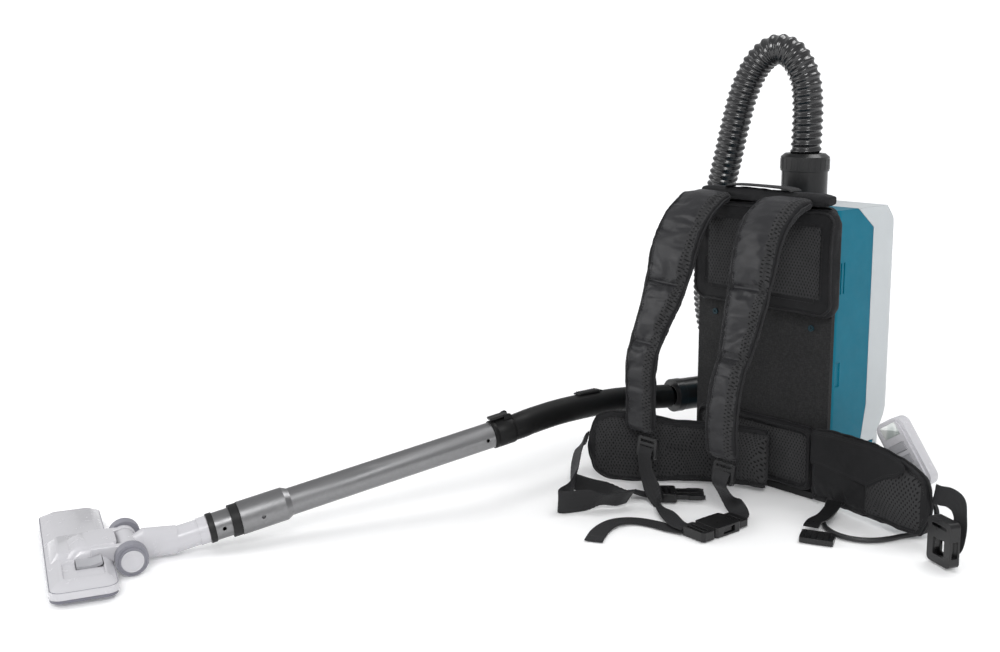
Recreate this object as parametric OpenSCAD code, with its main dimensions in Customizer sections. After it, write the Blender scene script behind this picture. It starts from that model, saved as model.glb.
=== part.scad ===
// Cordless backpack vacuum cleaner: pack, harness, hose, wand and floor nozzle.
// Frame: +Z up, +Y away from the wearer's back, +X to the wearer's left-hand side
// when the pack is seen from the front. Origin: under the foot, below the back plate.

/* [Pack body] */
// width of the housing across the back
body_w = 230; // [200:1:260]
// height of the housing's top above the floor
body_top = 420; // [380:1:460]
// underside of the housing, above the battery packs
body_floor = 46; // [40:1:60]
// depth of the side walls of the front housing
shell_d = 96; // [80:1:110]
// total depth with the rear cover
cover_d = 168; // [140:1:180]
// wall thickness of the front housing
wall = 4; // [3:0.5:6]
// wall thickness of the rear cover
cover_wall = 3; // [2:0.5:5]
// gap along the seam between housing and cover
seam = 0.6; // [0.3:0.1:1.5]
// distance of the hose inlet from the back plate
inlet_y = 87; // [70:1:95]
// thickness of the moulded back plate
plate_t = 8; // [5:1:12]
// height of the cover's hinge line
hinge_z = 57; // [55:1:60]
// distance of the cover's hinge line from the back plate
hinge_y = 128; // [124:1:132]

/* [Motor and dust chamber] */
// radius of the motor can
can_r = 38; // [32:1:40]
// height of the shelf that carries the filter
shelf_z = 160; // [150:1:170]
// distance of the motor axis from the back plate
motor_y = 45; // [43:1:46]

/* [Batteries] */
// width of one battery pack
pack_w = 75; // [70:1:78]
// length of one battery pack
pack_l = 117; // [100:1:120]
// distance of each pack's middle from the centre line
pack_x = 58; // [56:1:62]

/* [Hose and wand] */
// outside radius of the ribbed hose
hose_r = 23; // [16:0.5:24]
// radius of the hose cuff on the pack
cuff_r = 34; // [30:1:38]
// outside radius of the aluminium pipe
pipe_r = 18.2; // [14:0.1:19]
// outside radius of the pipe's widened socket end
socket_r = 22; // [18:0.1:24]
// outside radius of the spigot that plugs into the socket
spigot_r = 18.2; // [15:0.1:19]
// heading of the wand, clockwise from straight back
wand_yaw = 18.1; // [5:0.1:25]
// rise of the wand towards the handle
wand_pitch = 11.01; // [5:0.01:15]
// radius of the curved handle
grip_r = 18.6; // [14:0.2:20]

/* [Floor nozzle] */
// length of the nozzle
nozzle_w = 275; // [250:1:320]
// depth of the nozzle
nozzle_d = 77; // [70:1:90]
// heading of the nozzle, clockwise from straight ahead
nozzle_yaw = 18.3; // [0:0.1:30]
// sideways place of the neck along the nozzle
neck_x = 27; // [0:1:30]
// radius of the two rear wheels
wheel_r = 20; // [16:1:24]

/* [Harness] */
// width of a padded shoulder strap at the shoulder
strap_w = 82; // [70:1:90]
// thickness of a padded shoulder strap
strap_t = 20; // [10:1:22]
// width of the shoulder webbing
web_w = 25; // [20:1:30]
// width of the waist webbing
belt_w = 38; // [30:1:50]
// thickness of all webbing
web_t = 2.4; // [1.5:0.1:3]
// thickness of the mesh back pads
pad_t = 21; // [12:1:30]

/* [Remote controller] */
// width of the controller
ctl_w = 44; // [40:1:60]
// length of the controller
ctl_l = 99; // [90:1:130]
// thickness of the controller
ctl_t = 27; // [20:1:36]
// lean of the controller from upright
ctl_lean = 35; // [0:1:60]

/* [Hidden] */
$fn = 48;
tiny = 0.3;
shaft_gap = 0.06;
half_w = body_w / 2;
slab_top = 66;
slab_end = 119;
boss_r = 39;
port_r = 30.8;
stub_r = 27;
stub_top = 441;
cuff_top = 492;
rim_z = 466;
hinge_pin_r = 3;
ear_x = 97;
latch_y = 166;
latch_z = 386;
ctl_at = [239, 0, 100];
wand_at = [-309.3, -757.1, 28.0];
nozzle_at = [-385, -900, 0];
pivot = [neck_x, 58, 22];
bend_at = [-321.8, -795.3, 20.2];
handle_end = [-176, 0, 97];
handle_end_yaw = 15;

teal = [0.10, 0.40, 0.50];
shell_white = [0.84, 0.84, 0.86];
black = [0.08, 0.08, 0.09];
dark = [0.16, 0.16, 0.17];
metal = [0.72, 0.72, 0.74];

// routes, as hand-chosen points along each centre line
hose_route = [
  [0, 87, 446], [0, 87, 480], [2, 86, 520], [3, 84, 566], [-3, 82, 607],
  [-24, 79, 639], [-53, 77, 646.5], [-82, 74, 626], [-103, 71, 586], [-118, 70, 535],
  [-133, 72, 480], [-153, 79, 420], [-176, 92, 352], [-196, 108, 288], [-207, 124, 230],
  [-208, 138, 182], [-197, 142, 146], [-180, 128, 117], [-166, 102, 102], [-159, 76, 97.5],
  [-160, 59.9, 97], [-163.8, 45.4, 97], [-167.5, 31.9, 97]
];
handle_route = [
  [-177.4, -354.3, 110.4], [-174.2, -344.5, 112.4], [-173.4, -329, 114.2], [-176, -310, 115], [-183, -250, 115],
  [-191, -180, 111], [-194, -110, 106], [-189, -50, 100], [-180.3, -16, 97.4], [-178, -7.5, 97]
];
cable_route = [
  [149, -39.8, 17], [151, -48, 13], [156, -62, 6], [167, -84, 4], [185, -103, 4],
  [209, -112, 4], [232, -108, 4], [250, -93, 4], [261, -72, 4], [268, -50, 4],
  [275, -32, 4.2], [284, -17, 9], [289, -6, 20], [285.5, -1, 34], [275.9, 0, 47.3],
  [267.4, 0, 59.45], [261.9, 0, 67.2]
];

// ---- helpers ----

// a Y-Z outline drawn out along X from x0 to x1
module along_x(x0, x1) {
  translate([x0, 0, 0])
    rotate([90, 0, 90])
      linear_extrude(x1 - x0)
        children();
}

// an upright block from one corner to the opposite one
module block(low, high) {
  translate(low)
    cube(high - low);
}

// a flat outline with rounded corners, centred
module rounded(w, d, r) {
  union() {
    square([w - 2 * r, d], center = true);
    square([w, d - 2 * r], center = true);
    for (sx = [-1, 1], sy = [-1, 1])
      translate([sx * (w / 2 - r), sy * (d / 2 - r)])
        circle(r);
  }
}

// an upright block with rounded upright edges, centred in plan, standing on z0
module rounded_block(w, d, r, z0, z1) {
  translate([0, 0, z0])
    linear_extrude(z1 - z0)
      rounded(w, d, r);
}

function unit(v) = v / norm(v);
function last(list) = list[len(list) - 1];
function heading(route, i) =
  unit(route[min(i + 1, len(route) - 1)] - route[max(i - 1, 0)]);

// outline of a strip of even thickness along a flat route
function strip(route, t) = concat(
  [for (i = [0 : len(route) - 1]) route[i] + t / 2 * [-heading(route, i)[1], heading(route, i)[0]]],
  [for (i = [len(route) - 1 : -1 : 0]) route[i] - t / 2 * [-heading(route, i)[1], heading(route, i)[0]]]
);

// a smooth curve through a route's points
function spline(a, b, c, d, t) =
  0.5 * ((2 * b) + (c - a) * t + (2 * a - 5 * b + 4 * c - d) * t * t
  + (3 * b - a - 3 * c + d) * t * t * t);
function smooth(route, steps) = concat(
  [for (i = [0 : len(route) - 2], k = [0 : steps - 1])
    spline(route[max(i - 1, 0)], route[i], route[i + 1], route[min(i + 2, len(route) - 1)], k / steps)],
  [last(route)]
);

// a closed skin over equal rings of points
module skin(rings) {
  sides = len(rings[0]);
  count = len(rings);
  points = [for (ring = rings) for (p = ring) p];
  walls = [for (i = [0 : count - 2], j = [0 : sides - 1])
    [i * sides + j, (i + 1) * sides + j, (i + 1) * sides + (j + 1) % sides, i * sides + (j + 1) % sides]];
  start = [for (j = [0 : sides - 1]) j];
  end = [for (j = [sides - 1 : -1 : 0]) (count - 1) * sides + j];
  polyhedron(points = points, faces = concat([start], walls, [end]), convexity = 6);
}

// the side direction at each point of a path, carried along without twist
function carried(path, i, u) =
  let (d = heading(path, i), v = unit(u - (u * d) * d))
  i == len(path) - 1 ? [v] : concat([v], carried(path, i + 1, v));

// a round tube or cord along a route
module round_route(route, r, sides, steps) {
  path = smooth(route, steps);
  sideways = carried(path, 0, [1, 0.1, 0.1]);
  rings = [for (i = [0 : len(path) - 1])
    let (u = sideways[i], v = cross(heading(path, i), u))
    [for (j = [0 : sides - 1]) path[i] + r * (cos(360 * j / sides) * u + sin(360 * j / sides) * v)]];
  skin(rings);
}

// flat webbing along a route, with the direction across it at each point
module web_route(route, across, w, t, steps) {
  path = smooth(route, steps);
  wide = smooth(across, steps);
  rings = [for (i = [0 : len(path) - 1])
    let (d = heading(path, i), v = unit(cross(d, wide[i])), u = cross(v, d))
    [path[i] + w / 2 * u + t / 2 * v, path[i] - w / 2 * u + t / 2 * v,
      path[i] - w / 2 * u - t / 2 * v, path[i] + w / 2 * u - t / 2 * v]];
  skin(rings);
}

// local frames: +Z along the wand towards the handle, the nozzle's own plan,
// and the controller's upright box
module at_wand(s) {
  translate(wand_at)
    rotate([wand_pitch - 90, 0, -wand_yaw])
      translate([0, 0, s])
        children();
}
module at_nozzle() {
  translate(nozzle_at)
    rotate([0, 0, -nozzle_yaw])
      children();
}
module at_controller() {
  translate(ctl_at)
    rotate([0, -ctl_lean, 0])
      children();
}
module at_handle_end(s) {
  translate(handle_end)
    rotate([-90, 0, -handle_end_yaw])
      translate([0, 0, s])
        children();
}

// ---- pack ----

module back_plate() {
  color(black)
    difference() {
      translate([0, 0, 217.5])
        rotate([90, 0, 0])
          linear_extrude(plate_t)
            rounded(236, 415, 14);
      for (sx = [-1, 1])
        translate([sx * 86, 1, 250])
          rotate([90, 0, 0])
            cylinder(h = plate_t + 2, r = 2.3);
    }
}

module plate_screws() {
  color(teal)
    for (sx = [-1, 1])
      translate([sx * 86, -plate_t - 2.2, 250])
        rotate([-90, 0, 0])
          difference() {
            union() {
              cylinder(h = 2.1, r = 4.5);
              cylinder(h = plate_t + 1.8, r = 2.25);
            }
            translate([0, 0, -1])
              cylinder(h = 2.4, r = 2, $fn = 6);
          }
}

module battery_bay(side) {
  x = side * pack_x;
  block([x - 22.5, 20, body_floor - 1], [x + 22.5, slab_end + 1, 52]);
  block([x - 28.5, 20, 51.5], [x + 28.5, slab_end + 1, 60.5]);
}

module front_housing() {
  outline = [[0, body_floor], [slab_end, body_floor], [slab_end, slab_top], [84, slab_top],
    [shell_d, 125], [shell_d, 390], [54, body_top], [0, body_top]];
  color(teal)
    difference() {
      union() {
        intersection() {
          along_x(-half_w, half_w)
            polygon(outline);
          translate([0, 150, 0])
            rounded_block(body_w, 300, 12, 0, 500);
        }
        difference() {
          translate([0, inlet_y, 398])
            cylinder(h = body_top - 398, r = boss_r);
          translate([0, inlet_y, 397])
            cylinder(h = 15, r = 35);
        }
        block([-10, inlet_y + 34, 406], [10, 152, 412]);
        for (side = [-1, 1])
          mirror([side < 0 ? 1 : 0, 0, 0]) {
            block([ear_x, 110, 51], [ear_x + 6, hinge_y, 63]);
            translate([ear_x, hinge_y, hinge_z])
              rotate([0, 90, 0])
                cylinder(h = 6, r = 6);
            translate([ear_x, hinge_y, hinge_z])
              rotate([0, 90, 0])
                cylinder(h = 15, r = hinge_pin_r);
          }
      }
      difference() {
        block([-half_w + wall, wall, slab_top + 2], [half_w - wall, 115, body_top - wall]);
        block([-half_w, 0, shelf_z], [half_w, 95, shelf_z + 4]);
        translate([0, inlet_y, 398])
          cylinder(h = 40, r = boss_r);
      }
      translate([0, inlet_y, 390])
        cylinder(h = 60, r = 31);
      translate([0, motor_y, shelf_z - 1])
        cylinder(h = 6, r = 26);
      for (side = [-1, 1])
        battery_bay(side);
      for (sx = [-1, 1], y = [16, 24])
        block([sx * half_w - 6, y - 1.6, 300], [sx * half_w + 6, y + 1.6, 345]);
      block([half_w - 1.5, 12, 165], [half_w + 1, 22, 200]);
      block([-half_w - 1, 20, 84], [-half_w + wall + 1, 80, 144]);
    }
}

module base_foot() {
  color(dark)
    difference() {
      union() {
        block([-100, -12, 0], [100, 14, 9.6]);
        block([-100, 0.3, 0], [100, 14, body_floor - 0.1]);
        block([-16, 0.3, 0], [16, 118, body_floor - 0.1]);
      }
      for (sx = [-1, 1])
        block([sx * 60 - 30, 3.3, 12], [sx * 60 + 30, 15, 42]);
    }
}

module inlet_port() {
  color(black)
    translate([0, inlet_y, 0])
      difference() {
        union() {
          translate([0, 0, 386])
            cylinder(h = 38, r = port_r);
          translate([0, 0, body_top + 0.1])
            cylinder(h = 4, r = 37);
          translate([0, 0, body_top])
            cylinder(h = stub_top - body_top, r = stub_r);
        }
        translate([0, 0, 380])
          cylinder(h = 80, r = 22.5);
      }
}

module bag_collar() {
  color([0.75, 0.72, 0.62])
    difference() {
      translate([0, 83, 0])
        rounded_block(112, 76, 8, 392, 395);
      translate([0, inlet_y, 390])
        cylinder(h = 8, r = port_r + 0.5);
    }
}

module dust_bag() {
  color([0.80, 0.78, 0.72])
    union() {
      translate([0, 72, 0])
        rounded_block(176, 96, 34, 206, 372);
      translate([0, 78, 0])
        rounded_block(128, 80, 30, 190, 385);
    }
}

module filter_cassette() {
  color([0.30, 0.30, 0.32])
    difference() {
      translate([0, 48, 0])
        rounded_block(140, 80, 6, shelf_z + 4.2, shelf_z + 24);
      for (k = [-7 : 7])
        translate([k * 8.4, 48, shelf_z + 24])
          rotate([90, 0, 0])
            linear_extrude(66, center = true)
              polygon([[-3, 1], [0, -13], [3, 1]]);
      for (k = [-6 : 7])
        translate([(k - 0.5) * 8.4, 48, shelf_z + 4])
          rotate([90, 0, 0])
            linear_extrude(66, center = true)
              polygon([[-3, -1], [3, -1], [0, 13]]);
    }
}

module motor_housing() {
  color(dark)
    translate([0, motor_y, 0])
      difference() {
        union() {
          translate([0, 0, slab_top + 2.2])
            cylinder(h = shelf_z - slab_top - 2.8, r = can_r);
          for (a = [45 : 90 : 315])
            rotate(a)
              translate([can_r - 1, -3, slab_top + 2.2])
                cube([3, 6, 30]);
        }
        translate([0, 0, slab_top + 5])
          cylinder(h = shelf_z - slab_top - 8.4, r = can_r - 3);
        translate([0, 0, shelf_z - 12])
          cylinder(h = 20, r = 20);
        for (a = [0 : 45 : 315])
          rotate(a)
            translate([0, 0, 100])
              rotate([0, 90, 0])
                cylinder(h = can_r + 4, r = 8);
      }
}

module motor_core() {
  color([0.45, 0.33, 0.22])
    translate([0, motor_y, slab_top + 5.1])
      difference() {
        union() {
          cylinder(h = 44, r = 26);
          for (a = [0 : 60 : 300])
            rotate(a)
              translate([20, -5, 4])
                cube([10, 10, 36]);
        }
        translate([0, 0, 3])
          cylinder(h = 50, r = 3 + shaft_gap);
      }
}

module impeller() {
  color(metal)
    translate([0, motor_y, 0]) {
      translate([0, 0, slab_top + 9])
        cylinder(h = 66, r = 3);
      translate([0, 0, 122])
        cylinder(h = 3, r = 32);
      translate([0, 0, 122])
        cylinder(h = 18, r = 8);
      for (a = [0 : 40 : 320])
        rotate(a)
          translate([6, 0, 124])
            rotate(18)
              cube([24, 1.6, 12]);
      translate([0, 0, 135.5])
        difference() {
          cylinder(h = 2, r = 32);
          translate([0, 0, -1])
            cylinder(h = 4, r = 19);
        }
    }
}

module control_board() {
  color([0.05, 0.30, 0.15])
    union() {
      block([58, 14, 76], [59.6, 74, 146]);
      block([59.5, 20, 84], [74, 40, 104]);
      block([59.5, 46, 84], [70, 66, 120]);
      for (z = [112, 124, 136])
        block([59.5, 22, z - 4], [66, 34, z + 4]);
      block([52, 20, 68.1], [62, 68, 77]);
    }
}

module battery_terminals() {
  color([0.80, 0.62, 0.30])
    for (side = [-1, 1])
      translate([side * pack_x, 0, 0]) {
        block([-20, 20.2, 47], [20, 23.4, 60]);
        for (x = [-14, -5, 5, 14])
          block([x - 0.5, 23, 49], [x + 0.5, 32, 57]);
      }
}

module exhaust_grille() {
  color(dark)
    difference() {
      union() {
        block([-half_w + 0.4, 20.4, 84.4], [-half_w + wall + 1, 79.6, 143.6]);
        block([-half_w + wall + 0.2, 16, 80], [-half_w + wall + 2.2, 84, 148]);
      }
      for (k = [0 : 7])
        block([-half_w - 1, 26, 88 + k * 7], [-half_w + wall + 3, 74, 91.4 + k * 7]);
    }
}

module rear_cover() {
  outer = [[54 + seam, body_top], [131, body_top], [152, 398], [cover_d, 350], [cover_d, 250],
    [163, 130], [143, 96], [124, slab_top + 1], [84 + seam, slab_top + 1],
    [shell_d + seam, 125], [shell_d + seam, 390]];
  inner = [[0, body_top - cover_wall], [129.6, body_top - cover_wall], [149.5, 396.2],
    [cover_d - cover_wall, 349.4], [cover_d - cover_wall, 250.2], [160, 130.8],
    [140.2, 97.2], [121, slab_top + 1.5], [121, slab_top - 2], [0, slab_top - 2]];
  color(shell_white)
    difference() {
      union() {
        difference() {
          intersection() {
            along_x(-half_w, half_w)
              polygon(outer);
            translate([0, cover_d / 2 - 30, 0])
              rounded_block(body_w, cover_d + 60, 24, 0, 500);
          }
          intersection() {
            along_x(-half_w + cover_wall, half_w - cover_wall)
              polygon(inner);
            translate([0, cover_d / 2 - 30, 0])
              rounded_block(body_w - 2 * cover_wall, cover_d + 60 - 2 * cover_wall, 21, 0, 500);
          }
        }
        for (side = [-1, 1])
          mirror([side < 0 ? 1 : 0, 0, 0])
            difference() {
              union() {
                translate([ear_x + 7, hinge_y, hinge_z])
                  rotate([0, 90, 0])
                    cylinder(h = 9, r = 6.5);
                block([ear_x + 7, hinge_y - 4, hinge_z], [ear_x + 16, hinge_y + 6.5, 74]);
              }
              translate([ear_x, hinge_y, hinge_z])
                rotate([0, 90, 0])
                  cylinder(h = 30, r = hinge_pin_r + shaft_gap);
            }
        for (sx = [-1, 1])
          hull() {
            translate([sx * 15 - 2, latch_y, latch_z])
              rotate([0, 90, 0])
                cylinder(h = 4, r = 5);
            translate([sx * 15 - 2, latch_y - 12, latch_z - 5])
              rotate([0, 90, 0])
                cylinder(h = 4, r = 3);
          }
      }
      translate([0, inlet_y, 380])
        cylinder(h = 60, r = boss_r + 0.8);
      block([-boss_r - 0.8, 0, 380], [boss_r + 0.8, inlet_y, 440]);
      block([-11, inlet_y, 405], [11, cover_d, 413.4]);
      translate([-20, latch_y, latch_z])
        rotate([0, 90, 0])
          cylinder(h = 40, r = 2);
    }
}

module cover_latch() {
  color(dark)
    union() {
      translate([-17, latch_y, latch_z])
        rotate([0, 90, 0])
          cylinder(h = 34, r = 2 - shaft_gap);
      translate([-12.4, latch_y, latch_z])
        rotate([0, 90, 0])
          cylinder(h = 24.8, r = 4.5);
      along_x(-12.4, 12.4)
        polygon([[latch_y - 4, latch_z + 1], [153, 405], [152.5, 412.9], [147, 412.9],
          [147, 417], [156, 417], [158, 406], [latch_y + 4, latch_z + 2]]);
    }
}

module battery(side) {
  color(dark)
    difference() {
      translate([side * pack_x, 14.5 + pack_l / 2, 0])
        union() {
          rounded_block(pack_w, pack_l, 7, 2, 45.5);
          rounded_block(pack_w - 8, pack_l - 8, 5, 0.4, 3);
          block([-22, -pack_l / 2 + 9.5, 45], [22, pack_l / 2 - 0.1, 52.5]);
          block([-28, -pack_l / 2 + 9.5, 52], [28, pack_l / 2 - 0.1, 60]);
        }
      for (x = [-14, -5, 5, 14])
        block([side * pack_x + x - 1.3, 20, 48], [side * pack_x + x + 1.3, 36, 61]);
      block([side * pack_x - 15.4, 123, 25.6], [side * pack_x + 15.4, 133, 38.4]);
    }
}

module battery_button(side) {
  color([0.60, 0.10, 0.10])
    block([side * pack_x - 15, 126.5, 26], [side * pack_x + 15, 133, 38]);
}

// ---- harness ----

module upper_back_pad() {
  color(dark)
    translate([7, -plate_t - 0.3, 346])
      rotate([90, 0, 0])
        linear_extrude(pad_t)
          rounded(250, 156, 22);
}

module lumbar_pad() {
  color(dark)
    translate([0, -plate_t - 0.3, 60])
      rotate([90, 0, 0])
        linear_extrude(pad_t)
          rounded(212, 96, 18);
}

module left_wing() {
  plan = [[44, -43.5], [12, -50], [-20, -61], [-63, -93], [-113, -150], [-162, -206]];
  color(dark)
    intersection() {
      linear_extrude(130)
        polygon(strip(smooth(plan, 3), 24));
      along_x(-300, 0)
        polygon([[-30, 12], [-60, 3], [-165, 2], [-185, 7], [-200, 20], [-211, 42], [-215, 68],
          [-210, 90], [-199, 106], [-180, 115], [-150, 112], [-110, 100], [-70, 96], [-30, 100]]);
    }
}

module right_wing() {
  plan = [[107.8, -21.4], [150, -25], [200, -36], [255, -46], [304, -50]];
  front = [[90, 4], [235, 8.6], [290, 8.6], [312, 30], [318, 62], [300, 92], [262, 109],
    [215, 116], [165, 116], [90, 108]];
  color(dark)
    intersection() {
      linear_extrude(130)
        polygon(strip(smooth(plan, 3), 25));
      rotate([90, 0, 0])
        linear_extrude(100)
          polygon(front);
    }
}

module wing_flap() {
  plan = [[112, -37], [150, -40.5], [200, -52.5], [255, -62.5], [272, -64]];
  front = [[110, 62], [215, 58], [240, 76], [268, 88], [274, 100], [262, 112], [215, 120],
    [110, 112]];
  color(dark)
    intersection() {
      linear_extrude(130)
        polygon(strip(smooth(plan, 3), 5));
      rotate([90, 0, 0])
        linear_extrude(100)
          polygon(front);
    }
}

module top_yoke() {
  color(dark)
    translate([6, -17, 435.4])
      rotate([0, 90, 0])
        linear_extrude(228, center = true)
          rounded(21, 32, 9);
}

module carry_handle() {
  arch = [[-56, 447.7], [-40, 448.6], [0, 449.2], [40, 448.6], [56, 447.7]];
  color(black)
    translate([0, -4, 0])
      rotate([90, 0, 0])
        linear_extrude(26)
          polygon(strip(smooth(arch, 3), 3.2));
}

// a padded strap: its side view along the route, cut to its front outline
module padded_strap(route, front) {
  color(dark)
    intersection() {
      along_x(-half_w - 20, half_w + 20)
        polygon(strip(smooth(route, 3), strap_t));
      rotate([90, 0, 0])
        linear_extrude(230)
          polygon(front);
    }
}

module strap_left() {
  side = [[-34.2, 431], [-60, 425], [-92, 402], [-117, 366], [-130, 326], [-143, 285],
    [-162, 244], [-180, 200], [-182, 150], [-180, 92]];
  front = [[-118, 470], [-118 + strap_w, 470], [-34, 340], [-40, 300], [-49, 260], [-55, 215],
    [-54, 150], [-54, 80], [-109, 80], [-109, 150], [-112, 215], [-115, 260], [-116, 300],
    [-119, 340]];
  padded_strap(side, front);
}

module strap_right() {
  side = [[-34.2, 431], [-62, 426], [-92, 407], [-110, 380], [-122, 342], [-136, 290],
    [-155, 240], [-179, 188], [-186, 135], [-181, 88]];
  front = [[20, 470], [20 + strap_w, 470], [102, 340], [99, 300], [96, 260], [94, 215],
    [95, 150], [95, 80], [43, 80], [42, 150], [43, 215], [35, 260], [29, 300], [27, 340]];
  padded_strap(side, front);
}

module adjuster() {
  difference() {
    rounded_block(36, 30, 4, -2.5, 2.5);
    for (y = [-8, 1, 9])
      block([-13, y - 1.8, -4], [13, y + 1.8, 4]);
  }
}

module strap_adjusters() {
  color(black) {
    translate([-68, -180, 73])
      rotate([80, 0, 0])
        adjuster();
    translate([69, -178, 69])
      rotate([80, 0, 0])
        adjuster();
  }
}

module web_left() {
  color(black)
    web_route([[-67, -186.4, 56.6], [-62, -189, 40], [-46, -195, 22], [-22, -207, 10], [8, -224, 6.5],
      [34, -240, 6.5], [48, -246.6, 6.8], [61.4, -248.4, 7]],
      [[1, 0, 0], [1, 0.1, 0.1], [0.9, -0.2, 0.4], [0.7, -0.7, 0.1], [0.5, -0.87, 0],
      [0.4, -0.92, 0], [0.25, -0.97, 0], [0.05, -1, 0]], web_w, web_t, 3);
}

module web_right() {
  color(black)
    web_route([[66, -183.5, 53], [63, -172, 41], [64, -160, 27], [70, -151.5, 15], [77, -151.5, 8.6],
      [82.5, -157.5, 7], [84.2, -163.7, 6.8]],
      [[1, 0, 0], [1, 0, 0], [1, 0.1, 0], [0.9, 0.4, 0], [0.7, 0.7, 0], [0.93, 0.35, 0],
      [1, 0.05, 0]], web_w, web_t, 3);
}

module web_tail() {
  color(black)
    web_route([[60.2, -251.8, 2], [40, -257, 1.6], [12, -262, 1.6], [-12, -276, 1.6],
      [-21, -302, 1.6], [-14, -334, 1.6], [4, -366, 1.6]],
      [[0.2, -1, 0], [0.2, -1, 0], [0.4, -0.95, 0], [0.8, -0.6, 0], [1, 0, 0],
      [0.95, 0.3, 0], [0.87, 0.5, 0]], web_w, web_t, 3);
}

// buckle halves lie along their own +Y, on the floor
module buckle_socket() {
  difference() {
    union() {
      rounded_block(40, 50, 5, 0.4, 14);
      translate([0, 34, 0])
        rounded_block(34, 20, 4, 2, 11);
    }
    block([-16, -27, 3.4], [16, 20, 11]);
    block([-13.5, 30, 1], [13.5, 34.5, 12]);
    for (sx = [-1, 1])
      block([sx * 18 - 3, -10, 3], [sx * 18 + 3, 12, 11.4]);
  }
}

module buckle_tongue() {
  difference() {
    union() {
      translate([0, -38, 0])
        rounded_block(40, 24, 5, 1, 13);
      block([-3, -28, 4], [3, 14, 10.4]);
      for (sx = [-1, 1])
        buckle_prong(sx);
    }
    block([-13.5, -46.5, 0], [13.5, -42.5, 15]);
    block([-13.5, -38.5, 0], [13.5, -34.5, 15]);
  }
}

module buckle_prong(sx) {
  translate([0, 0, 4])
    linear_extrude(6.4)
      polygon([[sx * 9, -28], [sx * 15, -28], [sx * 15.6, -9.8], [sx * 17.6, -7.4],
        [sx * 17.6, 8], [sx * 13.6, 15], [sx * 12, 6]]);
}

module chest_buckle_socket() {
  color(black)
    translate([86, -211, 0])
      rotate([0, 0, -3])
        buckle_socket();
}

module chest_buckle_tongue() {
  color(black)
    translate([86, -211, 0])
      rotate([0, 0, -3])
        buckle_tongue();
}

module waist_web_left() {
  color(black)
    union() {
      web_route([[-174, -207, 60], [-170, -222, 46], [-156, -240, 32], [-138, -260, 22],
        [-118, -288, 17.5], [-108, -318, 17.5], [-100, -328, 17.5], [-91, -318, 17.5],
        [-80, -294, 17.5], [-64, -270, 17.5], [-53, -250, 17], [-52, -232, 16.5]],
        [[0.4, 0.3, 0.85], [0.3, 0.3, 0.9], [0.2, 0.3, 0.95], [0, 0.2, 1], [0, 0, 1],
        [0, 0, 1], [0, 0, 1], [0, 0, 1], [0.1, 0, 1], [0.6, -0.3, 0.75], [0.6, 0, 0.8],
        [0.6, 0, 0.8]], belt_w * 0.85, web_t, 2);
      web_route([[-138, -260, 22], [-114, -247, 17], [-90, -228, 15], [-70, -202, 10],
        [-60.5, -190, 6], [-50, -179, 5]],
        [[0, 0, 1], [0, 0, 1], [0.2, -0.2, 0.95], [0.6, -0.6, 0.5], [0.7, -0.7, 0.05], [0.7, -0.7, 0]],
        web_w, web_t, 2);
    }
}

module waist_web_right() {
  color(black)
    web_route([[318, -54, 74], [334, -60, 77], [349, -67, 74], [357, -75, 64], [359, -78, 48],
      [356, -78, 28]],
      [[0, 0.3, 0.95], [0.2, 0.3, 0.93], [0.6, 0.1, 0.7], [0.85, -0.35, 0.25], [0.93, -0.37, 0],
      [0.93, -0.37, 0]],
      web_w, web_t, 3);
}

module waist_buckle_tongue() {
  color(black)
    translate([-12, -141, 1])
      rotate([0, 0, -44])
        buckle_tongue();
}

module waist_buckle_socket() {
  color(black)
    translate([346, -93, 31.5])
      rotate([90, 0, -22])
        difference() {
          translate([0, 0, -7.5])
            rounded_block(42, 58, 6, 0, 15);
          block([-16, -36, -4], [16, 12, 4]);
          block([-13.5, 18, -9], [13.5, 22, 9]);
          for (sx = [-1, 1])
            block([sx * 18 - 4, -16, -4.5], [sx * 18 + 4, 6, 4.5]);
          block([-10, -18, -9], [10, 4, 9]);
        }
}

module adjuster_tail() {
  color(black)
    union() {
      translate([196, -141, 0.5])
        rotate([0, 0, -64])
          difference() {
            rounded_block(32, 44, 3, 0, 7);
            for (k = [-2 : 2])
              block([-14, k * 8 - 1, 5.4], [14, k * 8 + 1, 8]);
          }
      web_route([[178, -130, 11.6], [172, -112, 12.6], [172, -90, 14], [168, -68, 18], [164, -52, 24]],
        [[0.9, 0.4, 0], [1, 0.1, 0], [1, 0, 0], [1, 0.1, 0], [1, 0.2, 0]], 20, web_t, 3);
    }
}

// ---- controller ----

module controller_shell() {
  color(shell_white)
    at_controller()
      difference() {
        union() {
          rotate([90, 0, 0])
            linear_extrude(ctl_t - 8, center = true)
              rounded(ctl_w, ctl_l, 13);
          rotate([90, 0, 0])
            linear_extrude(ctl_t, center = true)
              rounded(ctl_w - 8, ctl_l - 8, 10);
        }
        block([-13, -ctl_t / 2 - 1, 26], [13, -ctl_t / 2 + 2.5, 44]);
        block([-12.4, -ctl_t / 2 - 1, 4], [12.4, -ctl_t / 2 + 5, 16]);
        block([-12.4, -ctl_t / 2 - 1, -14], [12.4, -ctl_t / 2 + 5, -2]);
        for (k = [0 : 3])
          block([-19, -ctl_t / 2 - 1, -22 - k * 6], [19, -ctl_t / 2 + 1, -20.4 - k * 6]);
        translate([0, 0, -ctl_l / 2 - 1])
          cylinder(h = 12, r = 3.9);
      }
}

module controller_window() {
  color([0.55, 0.60, 0.62])
    at_controller()
      block([-12.7, -ctl_t / 2 + 0.4, 26.3], [12.7, -ctl_t / 2 + 2.3, 43.7]);
}

module controller_button() {
  color(dark)
    at_controller()
      block([-12, -ctl_t / 2 - 1.2, 4.4], [12, -ctl_t / 2 + 2.4, 15.6]);
}

module controller_rocker() {
  color(dark)
    at_controller()
      block([-12, -ctl_t / 2 - 1.2, -13.6], [12, -ctl_t / 2 + 2.4, -2.4]);
}

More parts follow.
